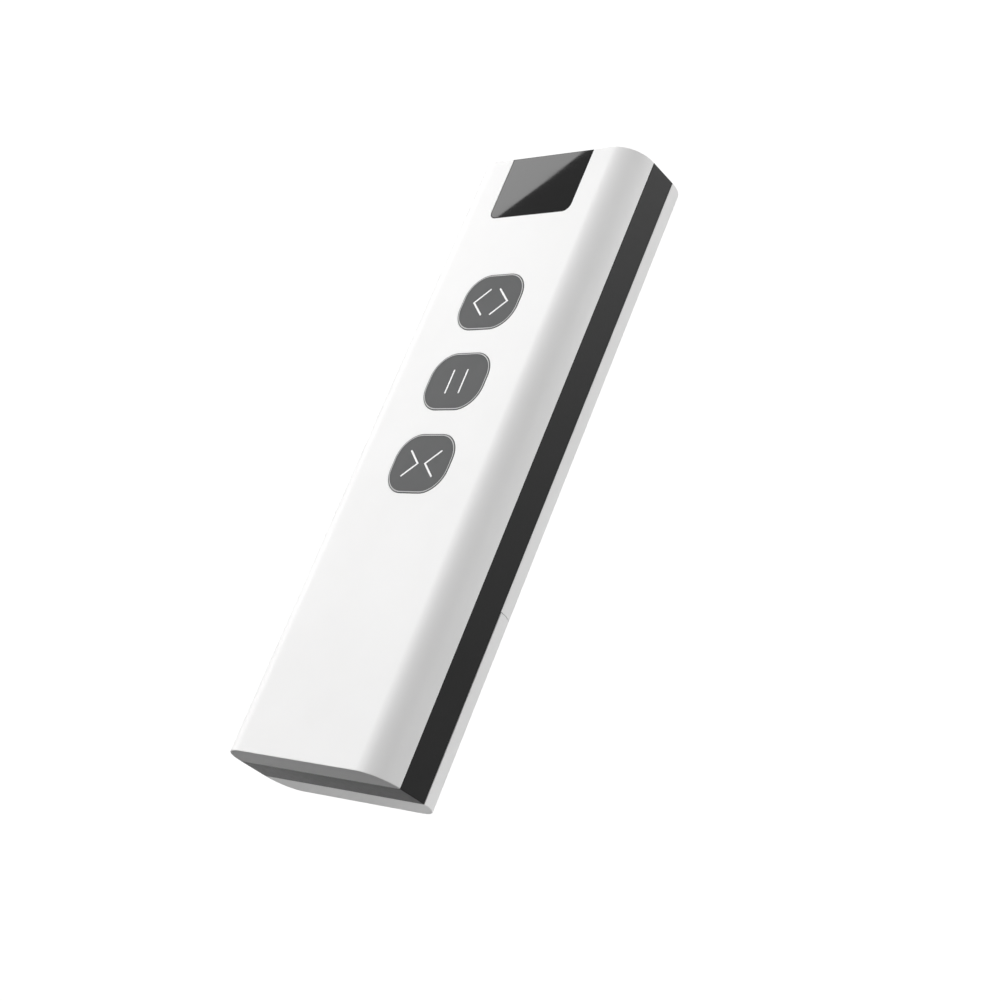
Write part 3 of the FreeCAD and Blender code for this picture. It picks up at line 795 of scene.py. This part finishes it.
rear = {
    "seamGap": 0.1 * mm,  # between the battery cover and the rear shell
    "seamMouth": 0.12 * mm,
    "ledgeTop": 2.95 * mm,
    "ledgeBottom": 1.75 * mm,
    "ledgeReach": 1.8 * mm,
    "ledgeRoot": 3.0 * mm,
    "earSide": 3.5 * mm,
    "earEdge": 3.0 * mm,
    "earRound": 0.8 * mm,
    "ledgeX": 16.6 * mm,
    "detentX": 3.5 * mm,
    "detentInset": 1.0 * mm,
    "detentHalf": 0.325 * mm,
    "detentHeight": 0.3 * mm,
    "detentRoot": 0.2 * mm,
    "detentRound": 0.15 * mm,
    "coneDepth": 1.1 * mm,
    "coneGap": 0.1 * mm,
    "clipY": 44.0 * mm,
}
cover = {
    "topGap": 0.1 * mm,
    "railX": 17.28 * mm,
    "railLow": 4.35 * mm,
    "railHigh": 5.35 * mm,
    "railStart": -60.2 * mm,
    "railEnd": -30.1 * mm,
    "railInset": 0.5 * mm,  # of its outer side, from the middle of the cover's wall
    "railRound": 0.7 * mm,
    "grooves": 5,
    "grooveFirst": -33.1 * mm,
    "groovePitch": 2.2 * mm,
    "grooveLength": 14.0 * mm,
    "grooveWidth": 0.9 * mm,
    "grooveDepth": 0.35 * mm,
    "grooveRound": 0.2 * mm,
    "grooveMouth": 0.08 * mm,
    "grooveSteps": 6,
    "detentX": 3.65 * mm,
    "detentY": -29.1 * mm,
    "detentHalf": 0.4 * mm,
    "detentFloor": 1.3 * mm,
    "detentTop": 2.0 * mm,
}
splitY = coverEnd + rear["seamGap"] / 2


def makeRearLayer(name, lowY, highY, topZ, openY):  # a shallow tray with round long sides
    layer = addBlock(name, (-halfWidth, lowY, 0), (halfWidth, highY, topZ))
    closedY = lowY if same(openY, highY) else highY
    startEditing(layer)
    pickEdges(layer, lambda a, b: alongY(a, b) and both(a, b, 2, 0))
    roundEdges(body["rearRound"], body["roundSteps"])
    pickFaces(layer, lambda middle, normal: facesUp(middle, normal) or same(middle.y, openY))
    bpy.ops.mesh.delete(type="ONLY_FACE")
    stopEditing()
    thicken(layer, body["rearWall"])
    startEditing(layer)
    insideY = closedY + (body["rearWall"] if closedY < openY else -body["rearWall"])
    slack = 5 * near  # the solidified wall's corners are this uneven at most
    pickEdges(layer, lambda a, b: all(abs(p.y - insideY) < slack for p in (a, b)))
    bpy.ops.transform.resize(value=(1, 0, 1), center_override=(0, insideY, 0))  # flattens the inner end
    pickEdges(layer, lambda a, b: alongY(a, b) and both(a, b, 2, topZ) and same(abs(a.x), halfWidth))
    roundEdges(body["rearSeamBreak"], steps=2)
    pickEdges(layer, lambda a, b: both(a, b, 1, closedY) and not both(a, b, 2, topZ))
    roundEdges(body["endBreak"])

    def seamOutline(a, b):  # the outer edges round the open end
        outer = all(p.z < near or abs(p.x) > halfWidth - body["rearRound"] - near for p in (a, b))
        inner = body["rearRound"] - body["rearWall"]
        centre = halfWidth - body["rearRound"]
        for p in (a, b):
            reach = hypot(max(0, abs(p.x) - centre), max(0, body["rearRound"] - p.z))
            if reach < (inner + body["rearRound"]) / 2:
                outer = False
        return outer and both(a, b, 1, openY) and not both(a, b, 2, topZ)

    pickEdges(layer, seamOutline)
    roundEdges(rear["seamMouth"], steps=2)
    stopEditing()
    return layer


def makeRearShell(look):
    startY = coverEnd + look["seamGap"]
    shell = makeRearLayer("rear_case", startY, halfLength, body["rearSeam"], startY)
    ledgeX, bottom, top = look["ledgeX"], look["ledgeBottom"], look["ledgeTop"]
    ledgeEnd = splitY + look["ledgeRoot"]
    wall = body["rearWall"]
    screwX, screwY = housingScrews[-1]
    rootLow = (-ledgeX, startY + sink, wall - sink)
    added = [
        addBlock("ledge", (-ledgeX, splitY - look["ledgeReach"], bottom), (ledgeX, ledgeEnd, top)),
        addBlock("root", rootLow, (ledgeX, ledgeEnd - shy, top - shy)),
    ]
    lowY = screwY - look["earEdge"]
    for side in (-1, 1):
        left, right = sorted((side * (screwX - look["earSide"]), side * (ledgeX - shy)))
        ear = addBlock("ear", (left, lowY, bottom + shy), (right, splitY, top - shy))
        startEditing(ear)
        pickEdges(ear, lambda a, b: upright(a, b) and same(a.y, lowY))
        roundEdges(look["earRound"], steps=6)
        stopEditing()
        added.append(ear)
    detentY = splitY - look["detentInset"]
    detentLow = (-look["detentX"], detentY - look["detentHalf"], bottom - look["detentHeight"])
    detentHigh = (look["detentX"], detentY + look["detentHalf"], bottom + look["detentRoot"])
    detent = addBlock("detent", detentLow, detentHigh)
    startEditing(detent)
    pickEdges(detent, lambda a, b: both(a, b, 2, bottom - look["detentHeight"]))
    roundEdges(look["detentRound"])
    stopEditing()
    added.append(detent)
    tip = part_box("rear_shell")[1].z
    added += clipArms(look["clipY"], wall - sink, tip, clip)
    combine(shell, added, "UNION")
    removed = []
    for x, y in housingScrews:
        removed.append(addPost("hole", x, y, body["screwHole"], bottom - past, top + past, sides=32))
        clearSelection()
        bpy.ops.mesh.primitive_cone_add(
            vertices=48,
            radius1=screws["flatHead"] + look["coneGap"],
            radius2=body["screwHole"],
            depth=look["coneDepth"],
            location=(x, y, bottom + look["coneDepth"] / 2),
        )
        seat = bpy.context.object
        bpy.ops.object.transform_apply(location=True, rotation=True, scale=True)
        startEditing(seat)
        pickFaces(seat, facesDown)
        bpy.ops.mesh.extrude_region_move(TRANSFORM_OT_translate={"value": (0, 0, -sink)})
        stopEditing()
        removed.append(seat)
    combine(shell, removed)
    finishShape(shell)
    dress(shell, "white_shell", "root", "rear_shell")


def makeCover(look):
    topZ = body["rearSeam"] - look["topGap"]
    lid = makeRearLayer("battery_lid", -halfLength, coverEnd, topZ, coverEnd)
    rails = []
    outerX = halfWidth - body["rearWall"] / 2 - look["railInset"]
    for side in (-1, 1):
        left, right = sorted((side * look["railX"], side * outerX))
        low, high = (left, look["railStart"], look["railLow"]), (right, look["railEnd"], look["railHigh"])
        rail = addBlock("rail", low, high)
        startEditing(rail)
        pickEdges(rail, lambda a, b: upright(a, b) and same(abs(a.x), look["railX"]))
        roundEdges(look["railRound"], steps=5)
        stopEditing()
        rails.append(rail)
    combine(lid, rails, "UNION")
    grooves = []
    for index in range(look["grooves"]):
        y = look["grooveFirst"] - index * look["groovePitch"] + look["grooveWidth"] / 2
        size = (look["grooveLength"], look["grooveWidth"])
        corner, depth = look["grooveWidth"] / 2 - near, look["grooveDepth"]
        groove = addSlab("groove", (0, y), size, corner, -past, depth, look["grooveSteps"])
        startEditing(groove)
        pickEdges(groove, lambda a, b: both(a, b, 2, depth))
        roundEdges(look["grooveRound"])
        stopEditing()
        grooves.append(groove)
    x, y, half = look["detentX"], look["detentY"], look["detentHalf"]
    low, high = (-x, y - half, look["detentFloor"]), (x, y + half, look["detentTop"])
    grooves.append(addBlock("detentGroove", low, high))
    combine(lid, grooves)
    startEditing(lid)
    pastLast = look["grooveFirst"] - look["grooves"] * look["groovePitch"]
    reach = look["grooveLength"] / 2 + near

    def atGroove(a, b):
        inside = all(abs(p.x) < reach and pastLast < p.y < coverEnd - mm for p in (a, b))
        return inside and both(a, b, 2, 0)

    pickEdges(lid, atGroove)
    roundEdges(look["grooveMouth"], steps=2)
    stopEditing()
    finishShape(lid)
    dress(lid, "white_shell", "cover", "battery_cover")


makeRearShell(rear)
makeCover(cover)
print("rear shell and battery cover made")


# Window lens

lens = {
    "corner": 1.7 * mm,
    "cornerSteps": 12,
    "edgeRound": 0.14 * mm,
    "edgeTilt": (0.05, 0.99),  # a softened face's normal has its Z part between these
}


def makeLens(look):
    low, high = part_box("window_lens")
    pane = addBlock("window_pane", low, high)
    startEditing(pane)
    pickEdges(pane, lambda a, b: upright(a, b) and same(a.y, low.y))
    roundEdges(look["corner"], look["cornerSteps"])
    pickEdges(pane, lambda a, b: both(a, b, 1, halfLength) and both(a, b, 2, crown))
    roundEdges(body["endBreak"])
    chamfered = high.y - body["endBreak"] - near
    pickEdges(pane, lambda a, b: both(a, b, 2, crown) and min(a.y, b.y) < chamfered)
    roundEdges(look["edgeRound"], steps=2)
    stopEditing()
    finishShape(pane)
    dress(pane, "dark_lens", "root", "window_lens")
    pane.data.materials.append(lensEdgeFinish)
    least, most = look["edgeTilt"]
    for polygon in pane.data.polygons:  # the softened edge is unpolished
        if least < polygon.normal.z < most:
            polygon.material_index = 1


makeLens(lens)
print("window made")


# Keys and their symbols

keys = {
    "gap": 0.03 * mm,  # between the cap and its well
    "edgeRound": 0.04 * mm,
    "outerLine": 0.11 * mm,  # the dark line at the cap's edge
    "step": 0.02 * mm,  # up from it to the bright line
    # the width of the bright line, a flat ring whose light grey is a painted highlight
    "brightLine": 0.20 * mm,
    "groove": 0.1 * mm,  # between the bright line and the face
    "grooveDepth": 0.06 * mm,
    "faceDrop": 0.03 * mm,  # of the face, under the bright line
    "flangeThickness": 1.0 * mm,
    "skirt": 1.2 * mm,
    "capThickness": 1.25 * mm,
    "stemRadius": 2.0 * mm,
    "travel": 0.3 * mm,
}
symbols = {
    "stroke": 0.36 * mm,
    "depth": 0.3 * mm,
    "gap": 0.05 * mm,
    "open": {"vertex": 4.36 * mm, "tip": 1.11 * mm, "height": 2.97 * mm},
    "close": {"vertex": 0.97 * mm, "tip": 4.10 * mm, "height": 2.79 * mm},
    "pause": {"offset": 1.76 * mm, "height": 2.65 * mm},
}


def makeKeyCap(look):  # modelled once, at the pause key's place
    middle, size = keySize("pause")
    low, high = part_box("key_pause")
    flangeTop = low.z + look["flangeThickness"]
    grow = frontShell["keyGap"] - look["gap"]
    capSize = (size[0] + 2 * grow, size[1] + 2 * grow)
    topZ = high.z - look["step"]
    corner = frontShell["keyCorner"] + grow
    cap = addSlab("key_cap", middle, capSize, corner, flangeTop, topZ, frontShell["keySteps"])
    startEditing(cap)
    pickEdges(cap, lambda a, b: both(a, b, 2, topZ))
    roundEdges(look["edgeRound"])
    pickFaces(cap, lambda centre, normal: normal.z > 0.99)
    bpy.ops.mesh.inset(thickness=look["outerLine"])
    bpy.ops.mesh.inset(thickness=look["step"], depth=look["step"])
    bpy.ops.mesh.inset(thickness=look["brightLine"])
    bpy.ops.mesh.inset(thickness=look["groove"] / 2, depth=-look["grooveDepth"])
    bpy.ops.mesh.inset(thickness=look["groove"] / 2, depth=look["grooveDepth"] - look["faceDrop"])
    pickFaces(cap, facesDown)
    bpy.ops.mesh.extrude_region_move(TRANSFORM_OT_translate={"value": (0, 0, 0)})  # starts the flange
    flange = [(side + 2 * frontShell["keyFlange"]) / (side + 2 * grow) for side in size]
    bpy.ops.transform.resize(value=(flange[0], flange[1], 1), center_override=(*middle, flangeTop))
    bpy.ops.mesh.extrude_region_move(TRANSFORM_OT_translate={"value": (0, 0, -look["flangeThickness"])})
    bpy.ops.mesh.inset(thickness=look["skirt"] + frontShell["keyFlange"])
    underside = high.z - look["capThickness"]
    bpy.ops.mesh.extrude_region_move(TRANSFORM_OT_translate={"value": (0, 0, underside - low.z)})
    stopEditing()
    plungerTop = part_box("switch_plunger_pause")[1].z
    stem = addPost("stem", *middle, look["stemRadius"], plungerTop, underside + sink)
    combine(cap, [stem], "UNION")
    return cap


def makeSymbol(name, middle, topZ, look, growth=0.0, rise=0.0):
    half = look["stroke"] / 2 + growth
    low, high = topZ - look["depth"] - growth, topZ + rise
    shape = look[name]
    if name == "pause":
        reach = shape["height"] + growth
        stroke = addBlock("symbol", (-half, -reach, low), (half, reach, high))
        rounded = (-reach, reach)
    else:  # a stroke that runs past the middle line, where the mirror trims it
        run, climb = shape["tip"] - shape["vertex"], shape["height"]
        reach = hypot(run, climb) + growth
        stroke = addBlock("symbol", (-half, -past, low), (half, reach, high))
        rounded = (reach,)
    startEditing(stroke)
    for end in rounded:
        pickEdges(stroke, lambda a, b: upright(a, b) and same(a.y, end))
        roundEdges(half - near / 4, steps=5)
    stopEditing()
    if name == "pause":
        stroke.location = (shape["offset"], 0, 0)
    else:
        stroke.rotation_euler.z = -atan2(run, climb)
        stroke.location = (shape["vertex"], 0, 0)
    takeUp(stroke)
    bpy.ops.object.transform_apply(location=True, rotation=True, scale=True)
    mirror = stroke.modifiers.new("mirror", "MIRROR")
    mirror.use_axis = (True, name != "pause", False)
    mirror.use_bisect_axis = (False, name != "pause", False)
    mirror.bisect_threshold = mirror.merge_threshold = near / 20
    bpy.ops.object.modifier_apply(modifier=mirror.name)
    stroke.location = (*middle, 0)
    bpy.ops.object.transform_apply(location=True, rotation=True, scale=True)
    return stroke


def makeKeys(look):
    cap = makeKeyCap(look)
    home = keySize("pause")[0]
    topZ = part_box("key_pause")[1].z - look["step"]
    faceZ = topZ + look["step"] - look["faceDrop"]
    for name in keyNames:
        middle = keySize(name)[0]
        key = copyOf(cap, name + "_button", (0, middle[1] - home[1], 0))
        pocket = makeSymbol(name, middle, faceZ, symbols, symbols["gap"], past)
        combine(key, [pocket])
        finishShape(key)
        dress(key, "key_grey", name + "_key", "key_" + name)
        key.data.materials.append(rimHighlightFinish)
        for polygon in key.data.polygons:  # the bright line is the only flat above the step; its light grey is a painted highlight of the cap's glossy edge
            if polygon.center.z > topZ + look["step"] * 0.9:
                polygon.material_index = 1
        mark = makeSymbol(name, middle, faceZ, symbols)
        mark.name = mark.data.name = name + "_mark"
        finishShape(mark)
        dress(mark, "symbol_white", name + "_key", "symbol_" + name)
    bpy.data.objects.remove(cap, do_unlink=True)


makeKeys(keys)
print("keys and symbols made")


# What shows in the battery bay

cell = {
    "sides": 96,
    "shoulder": 0.45 * mm,
    "lap": 0.75 * mm,  # how far the sleeve folds over each end
    "lapEdge": 0.1 * mm,
    "lapThickness": 0.12 * mm,
    "steelInset": 1.3 * mm,  # from the cell's side to where bare steel shows
    "capSides": 64,
    "capRound": 0.35 * mm,
}
softened = {  # each node with its new name, its finish and the size of its softened edges
    "battery_tray": ("cell_tray", "tray_grey", 0.12 * mm),
    "positive_contact": ("positive_blade", "plated_steel", 0.05 * mm),
    "negative_contact": ("negative_spring", "plated_steel", 0.05 * mm),
    "housing_screws": ("case_screws", "screw_steel", 0.05 * mm),
    "tray_screws": ("deck_screws", "screw_steel", 0.05 * mm),
}
copies = {  # how copies of construction nodes are cleaned; the angles are in degrees
    "merge": 0.002 * mm,
    "flatAngle": 1,
    "edgeAngle": 40,
    "shadeAngle": 30,
}


def roundCan(name, node, sides):  # a cylinder along Y that fills the node's box
    low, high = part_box(node)
    clearSelection()
    bpy.ops.mesh.primitive_cylinder_add(
        vertices=sides,
        radius=(high.x - low.x) / 2,
        depth=high.y - low.y,
        location=(low + high) / 2,
        rotation=(pi / 2, 0, 0),
    )
    can = bpy.context.object
    can.name = can.data.name = name
    bpy.ops.object.transform_apply(location=True, rotation=True, scale=True)
    return can, low, high


def makeCell(look):
    can, low, high = roundCan("battery", "battery_cell", look["sides"])
    startEditing(can)
    pickEdges(can, lambda a, b: same(a.y, b.y))
    roundEdges(look["shoulder"], steps=5)
    pickFaces(can, lambda middle, normal: abs(normal.y) > 0.99)
    bpy.ops.mesh.inset(thickness=look["lap"])
    bpy.ops.mesh.inset(thickness=look["lapEdge"], depth=-look["lapThickness"])
    stopEditing()
    finishShape(can)
    dress(can, "cell_sleeve", "root", "battery_cell")
    can.data.materials.append(finishes["plated_steel"])
    steelRadius = (high.x - low.x) / 2 - look["steelInset"]
    for polygon in can.data.polygons:
        axis = Vector((0, polygon.center.y, (low.z + high.z) / 2))
        if abs(polygon.normal.y) > 0.9 and (polygon.center - axis).length < steelRadius:
            polygon.material_index = 1
    cap, low, high = roundCan("battery_cap", "battery_terminal", look["capSides"])
    startEditing(cap)
    pickEdges(cap, lambda a, b: both(a, b, 1, high.y))
    roundEdges(look["capRound"], steps=4)
    stopEditing()
    finishShape(cap)
    dress(cap, "plated_steel", "root", "battery_terminal")


def mergedCopy(node, name):  # a copy of a construction node, as one joined mesh
    piece = copyOf(frame["nodes"][node], name)
    piece.parent = None
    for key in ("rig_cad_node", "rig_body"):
        if key in piece:
            del piece[key]
    startEditing(piece)
    bpy.ops.mesh.select_all(action="SELECT")
    bpy.ops.mesh.remove_doubles(threshold=copies["merge"])
    bpy.ops.mesh.dissolve_limited(angle_limit=radians(copies["flatAngle"]))
    stopEditing()
    return piece


def refine(node, name, slot, edge):  # the same with softened edges
    piece = mergedCopy(node, name)
    soften = piece.modifiers.new("soften", "BEVEL")
    soften.width = edge
    soften.segments = 2
    soften.limit_method = "ANGLE"
    soften.angle_limit = radians(copies["edgeAngle"])
    bpy.ops.object.modifier_apply(modifier=soften.name)
    finishShape(piece, copies["shadeAngle"])
    dress(piece, slot, "root", node)


makeCell(cell)
for node, (name, slot, edge) in softened.items():
    refine(node, name, slot, edge)
print("battery bay made")


def makeSnapDome(name):  # the dome under a key, copied with its own mesh; a real one flattens onto its base as its key goes down
    node = "switch_dome_" + name
    dome = finishShape(mergedCopy(node, name + "_snap_dome"), copies["shadeAngle"])
    dress(dome, "plated_steel", "root", node)
    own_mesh(dome)


for name in keyNames:
    makeSnapDome(name)
print("snap domes made")

# The rest keeps its construction mesh and gets its finish
for part in frame["record"]["subparts"]:
    node = frame["nodes"][part["node"]]
    if not node.hide_render:
        node.data.materials.clear()
        node.data.materials.append(finishes[part["material_slot"]])


# Stage, light and camera

stage = {
    "floorDrop": 0.35,
    "floorSize": 6.0,
    "floorShade": 0.7,
    "floorRough": 0.9,
    "paper": 1.05,  # how bright the floor and the backdrop look to the camera
    "ambient": 0.31,
    "rightGlow": 0.17,
}
cardStock = {"thickness": 1.0 * mm, "corner": 0.1 * mm}
cards = {  # black flags; one that doesn't shade only shows in reflections, along the far edges
    "endCard": {"place": (0, -0.2), "turn": 0, "size": (0.5, 0.5), "top": 0.25, "shades": True},
    "backCard": {"place": (-0.25, 0.21), "turn": 50, "size": (0.7, 0.5), "top": 0.095, "shades": False},
}
lights = {  # softboxes, placed like the camera below; the wall's upper edge crosses the window
    "wall": {
        "azimuth": 234.5,
        "elevation": 0,
        "roll": -8.6,
        "distance": 0.8,
        "aim": (-0.0607, -0.0852, 0.2131),
        "size": (1.2, 0.6),
        "radiance": 3.1,
    },
    "top": {
        "azimuth": 266,
        "elevation": 59,
        "roll": 0,
        "distance": 0.9,
        "aim": (0, 0, 0),
        "size": (0.9, 0.75),
        "radiance": 2.63,
    },
    "right": {
        "azimuth": 100,
        "elevation": 3,
        "roll": 0,
        "distance": 0.8,
        "aim": (0, 0, 0),
        "size": (0.8, 0.4),
        "radiance": 1.7,
    },
    "lowBack": {
        "azimuth": 138,
        "elevation": -30,
        "roll": 0,
        "distance": 0.6,
        "aim": (0, 0, 0),
        "size": (0.45, 0.3),
        "radiance": 1.65,
    },
    "rearEnd": {  # lifts only the white pieces under the band
        "azimuth": 25,
        "elevation": 0,
        "roll": 0,
        "distance": 0.12,
        "aim": (0, -0.065, 0),
        "size": (0.1, 0.05),
        "radiance": 2.9,
        "only": ["rear_case", "battery_lid"],
    },
}
view = {
    "azimuth": 63.5631,  # 0 looks along +Y and 90 along -X
    "elevation": 39.4330,
    "roll": -50.2164,
    "aim": (13.7427 * mm, -7.4709 * mm, 9.2 * mm),
    "distance": 0.366952,
    "lens": 72.5802,
    "clip": (0.01, 20.0),
}


def makeStage(look):
    size = look["floorSize"]
    clearSelection()
    bpy.ops.mesh.primitive_plane_add(size=size, location=(0, 0, -look["floorDrop"]))
    floor = bpy.context.object
    floor.name = "floor"
    material = bpy.data.materials.new("paleFloor")
    material.use_nodes = True
    tree = material.node_tree
    shader = tree.nodes["Principled BSDF"]
    shader.inputs["Base Color"].default_value = grey(look["floorShade"])
    shader.inputs["Roughness"].default_value = look["floorRough"]
    seen = Wire(tree).node("ShaderNodeLightPath", out="Is Camera Ray")
    paper = seen.node("ShaderNodeEmission", inputs={"Color": grey(1.0), "Strength": look["paper"]})
    plain = Wire(tree, shader.outputs[0])
    mixed = seen.node("ShaderNodeMixShader", inputs={0: seen, 1: plain, 2: paper})
    tree.links.new(mixed.socket, tree.nodes["Material Output"].inputs["Surface"])
    floor.data.materials.append(material)
    world = bpy.data.worlds.new("studio")
    bpy.context.scene.world = world
    world.use_nodes = True
    tree = world.node_tree
    seen = Wire(tree).node("ShaderNodeLightPath", out="Is Camera Ray")
    direction = seen.node("ShaderNodeTexCoord", out="Generated")
    glow = look["ambient"] + apart(direction)[0].maths("MAXIMUM", 0.0) * look["rightGlow"]
    strength = glow * (1 - seen) + seen * look["paper"]
    tree.links.new(strength.socket, tree.nodes["Background"].inputs["Strength"])
    tree.nodes["Background"].inputs["Color"].default_value = grey(1.0)


def addCard(name, look):
    wide, tall = look["size"]
    size, corner = (wide, cardStock["thickness"]), cardStock["corner"]
    card = addSlab(name, (0, 0), size, corner, look["top"] - tall, look["top"], steps=1)
    card.location = (*look["place"], 0)
    card.rotation_euler.z = radians(look["turn"])
    card.visible_camera = False
    card.visible_diffuse = card.visible_shadow = look["shades"]
    card.data.materials.append(finishes["black_tape"])


def lookingFrom(look):
    turn = Matrix.Rotation(radians(look["azimuth"]), 4, "Z")
    tilt = Matrix.Rotation(radians(90 - look["elevation"]), 4, "X")
    roll = Matrix.Rotation(radians(look["roll"]), 4, "Z")
    back = Matrix.Translation((0, 0, look["distance"]))
    return Matrix.Translation(look["aim"]) @ turn @ tilt @ roll @ back


def addLight(name, look):
    data = bpy.data.lights.new(name, "AREA")
    data.shape = "RECTANGLE"
    data.size, data.size_y = look["size"]
    data.energy = look["radiance"] * pi * look["size"][0] * look["size"][1]
    lamp = bpy.data.objects.new(name, data)
    bpy.context.scene.collection.objects.link(lamp)
    lamp.matrix_world = lookingFrom(look)
    lamp.visible_camera = False
    if "only" in look:
        lit = bpy.data.collections.new(name + "Lights")
        for piece in look["only"]:
            lit.objects.link(bpy.data.objects[piece])
        lamp.light_linking.receiver_collection = lit


def makeCamera(look):
    data = bpy.data.cameras.new("camera")
    data.lens = look["lens"]
    data.clip_start, data.clip_end = look["clip"]
    camera = bpy.data.objects.new("camera", data)
    bpy.context.scene.collection.objects.link(camera)
    camera.matrix_world = lookingFrom(look)
    bpy.context.scene.camera = camera


makeStage(stage)
for name, look in cards.items():
    addCard(name, look)
for name, look in lights.items():
    addLight(name, look)
makeCamera(view)
bpy.context.scene.view_settings.view_transform = "Standard"
print("stage, lights and camera set")
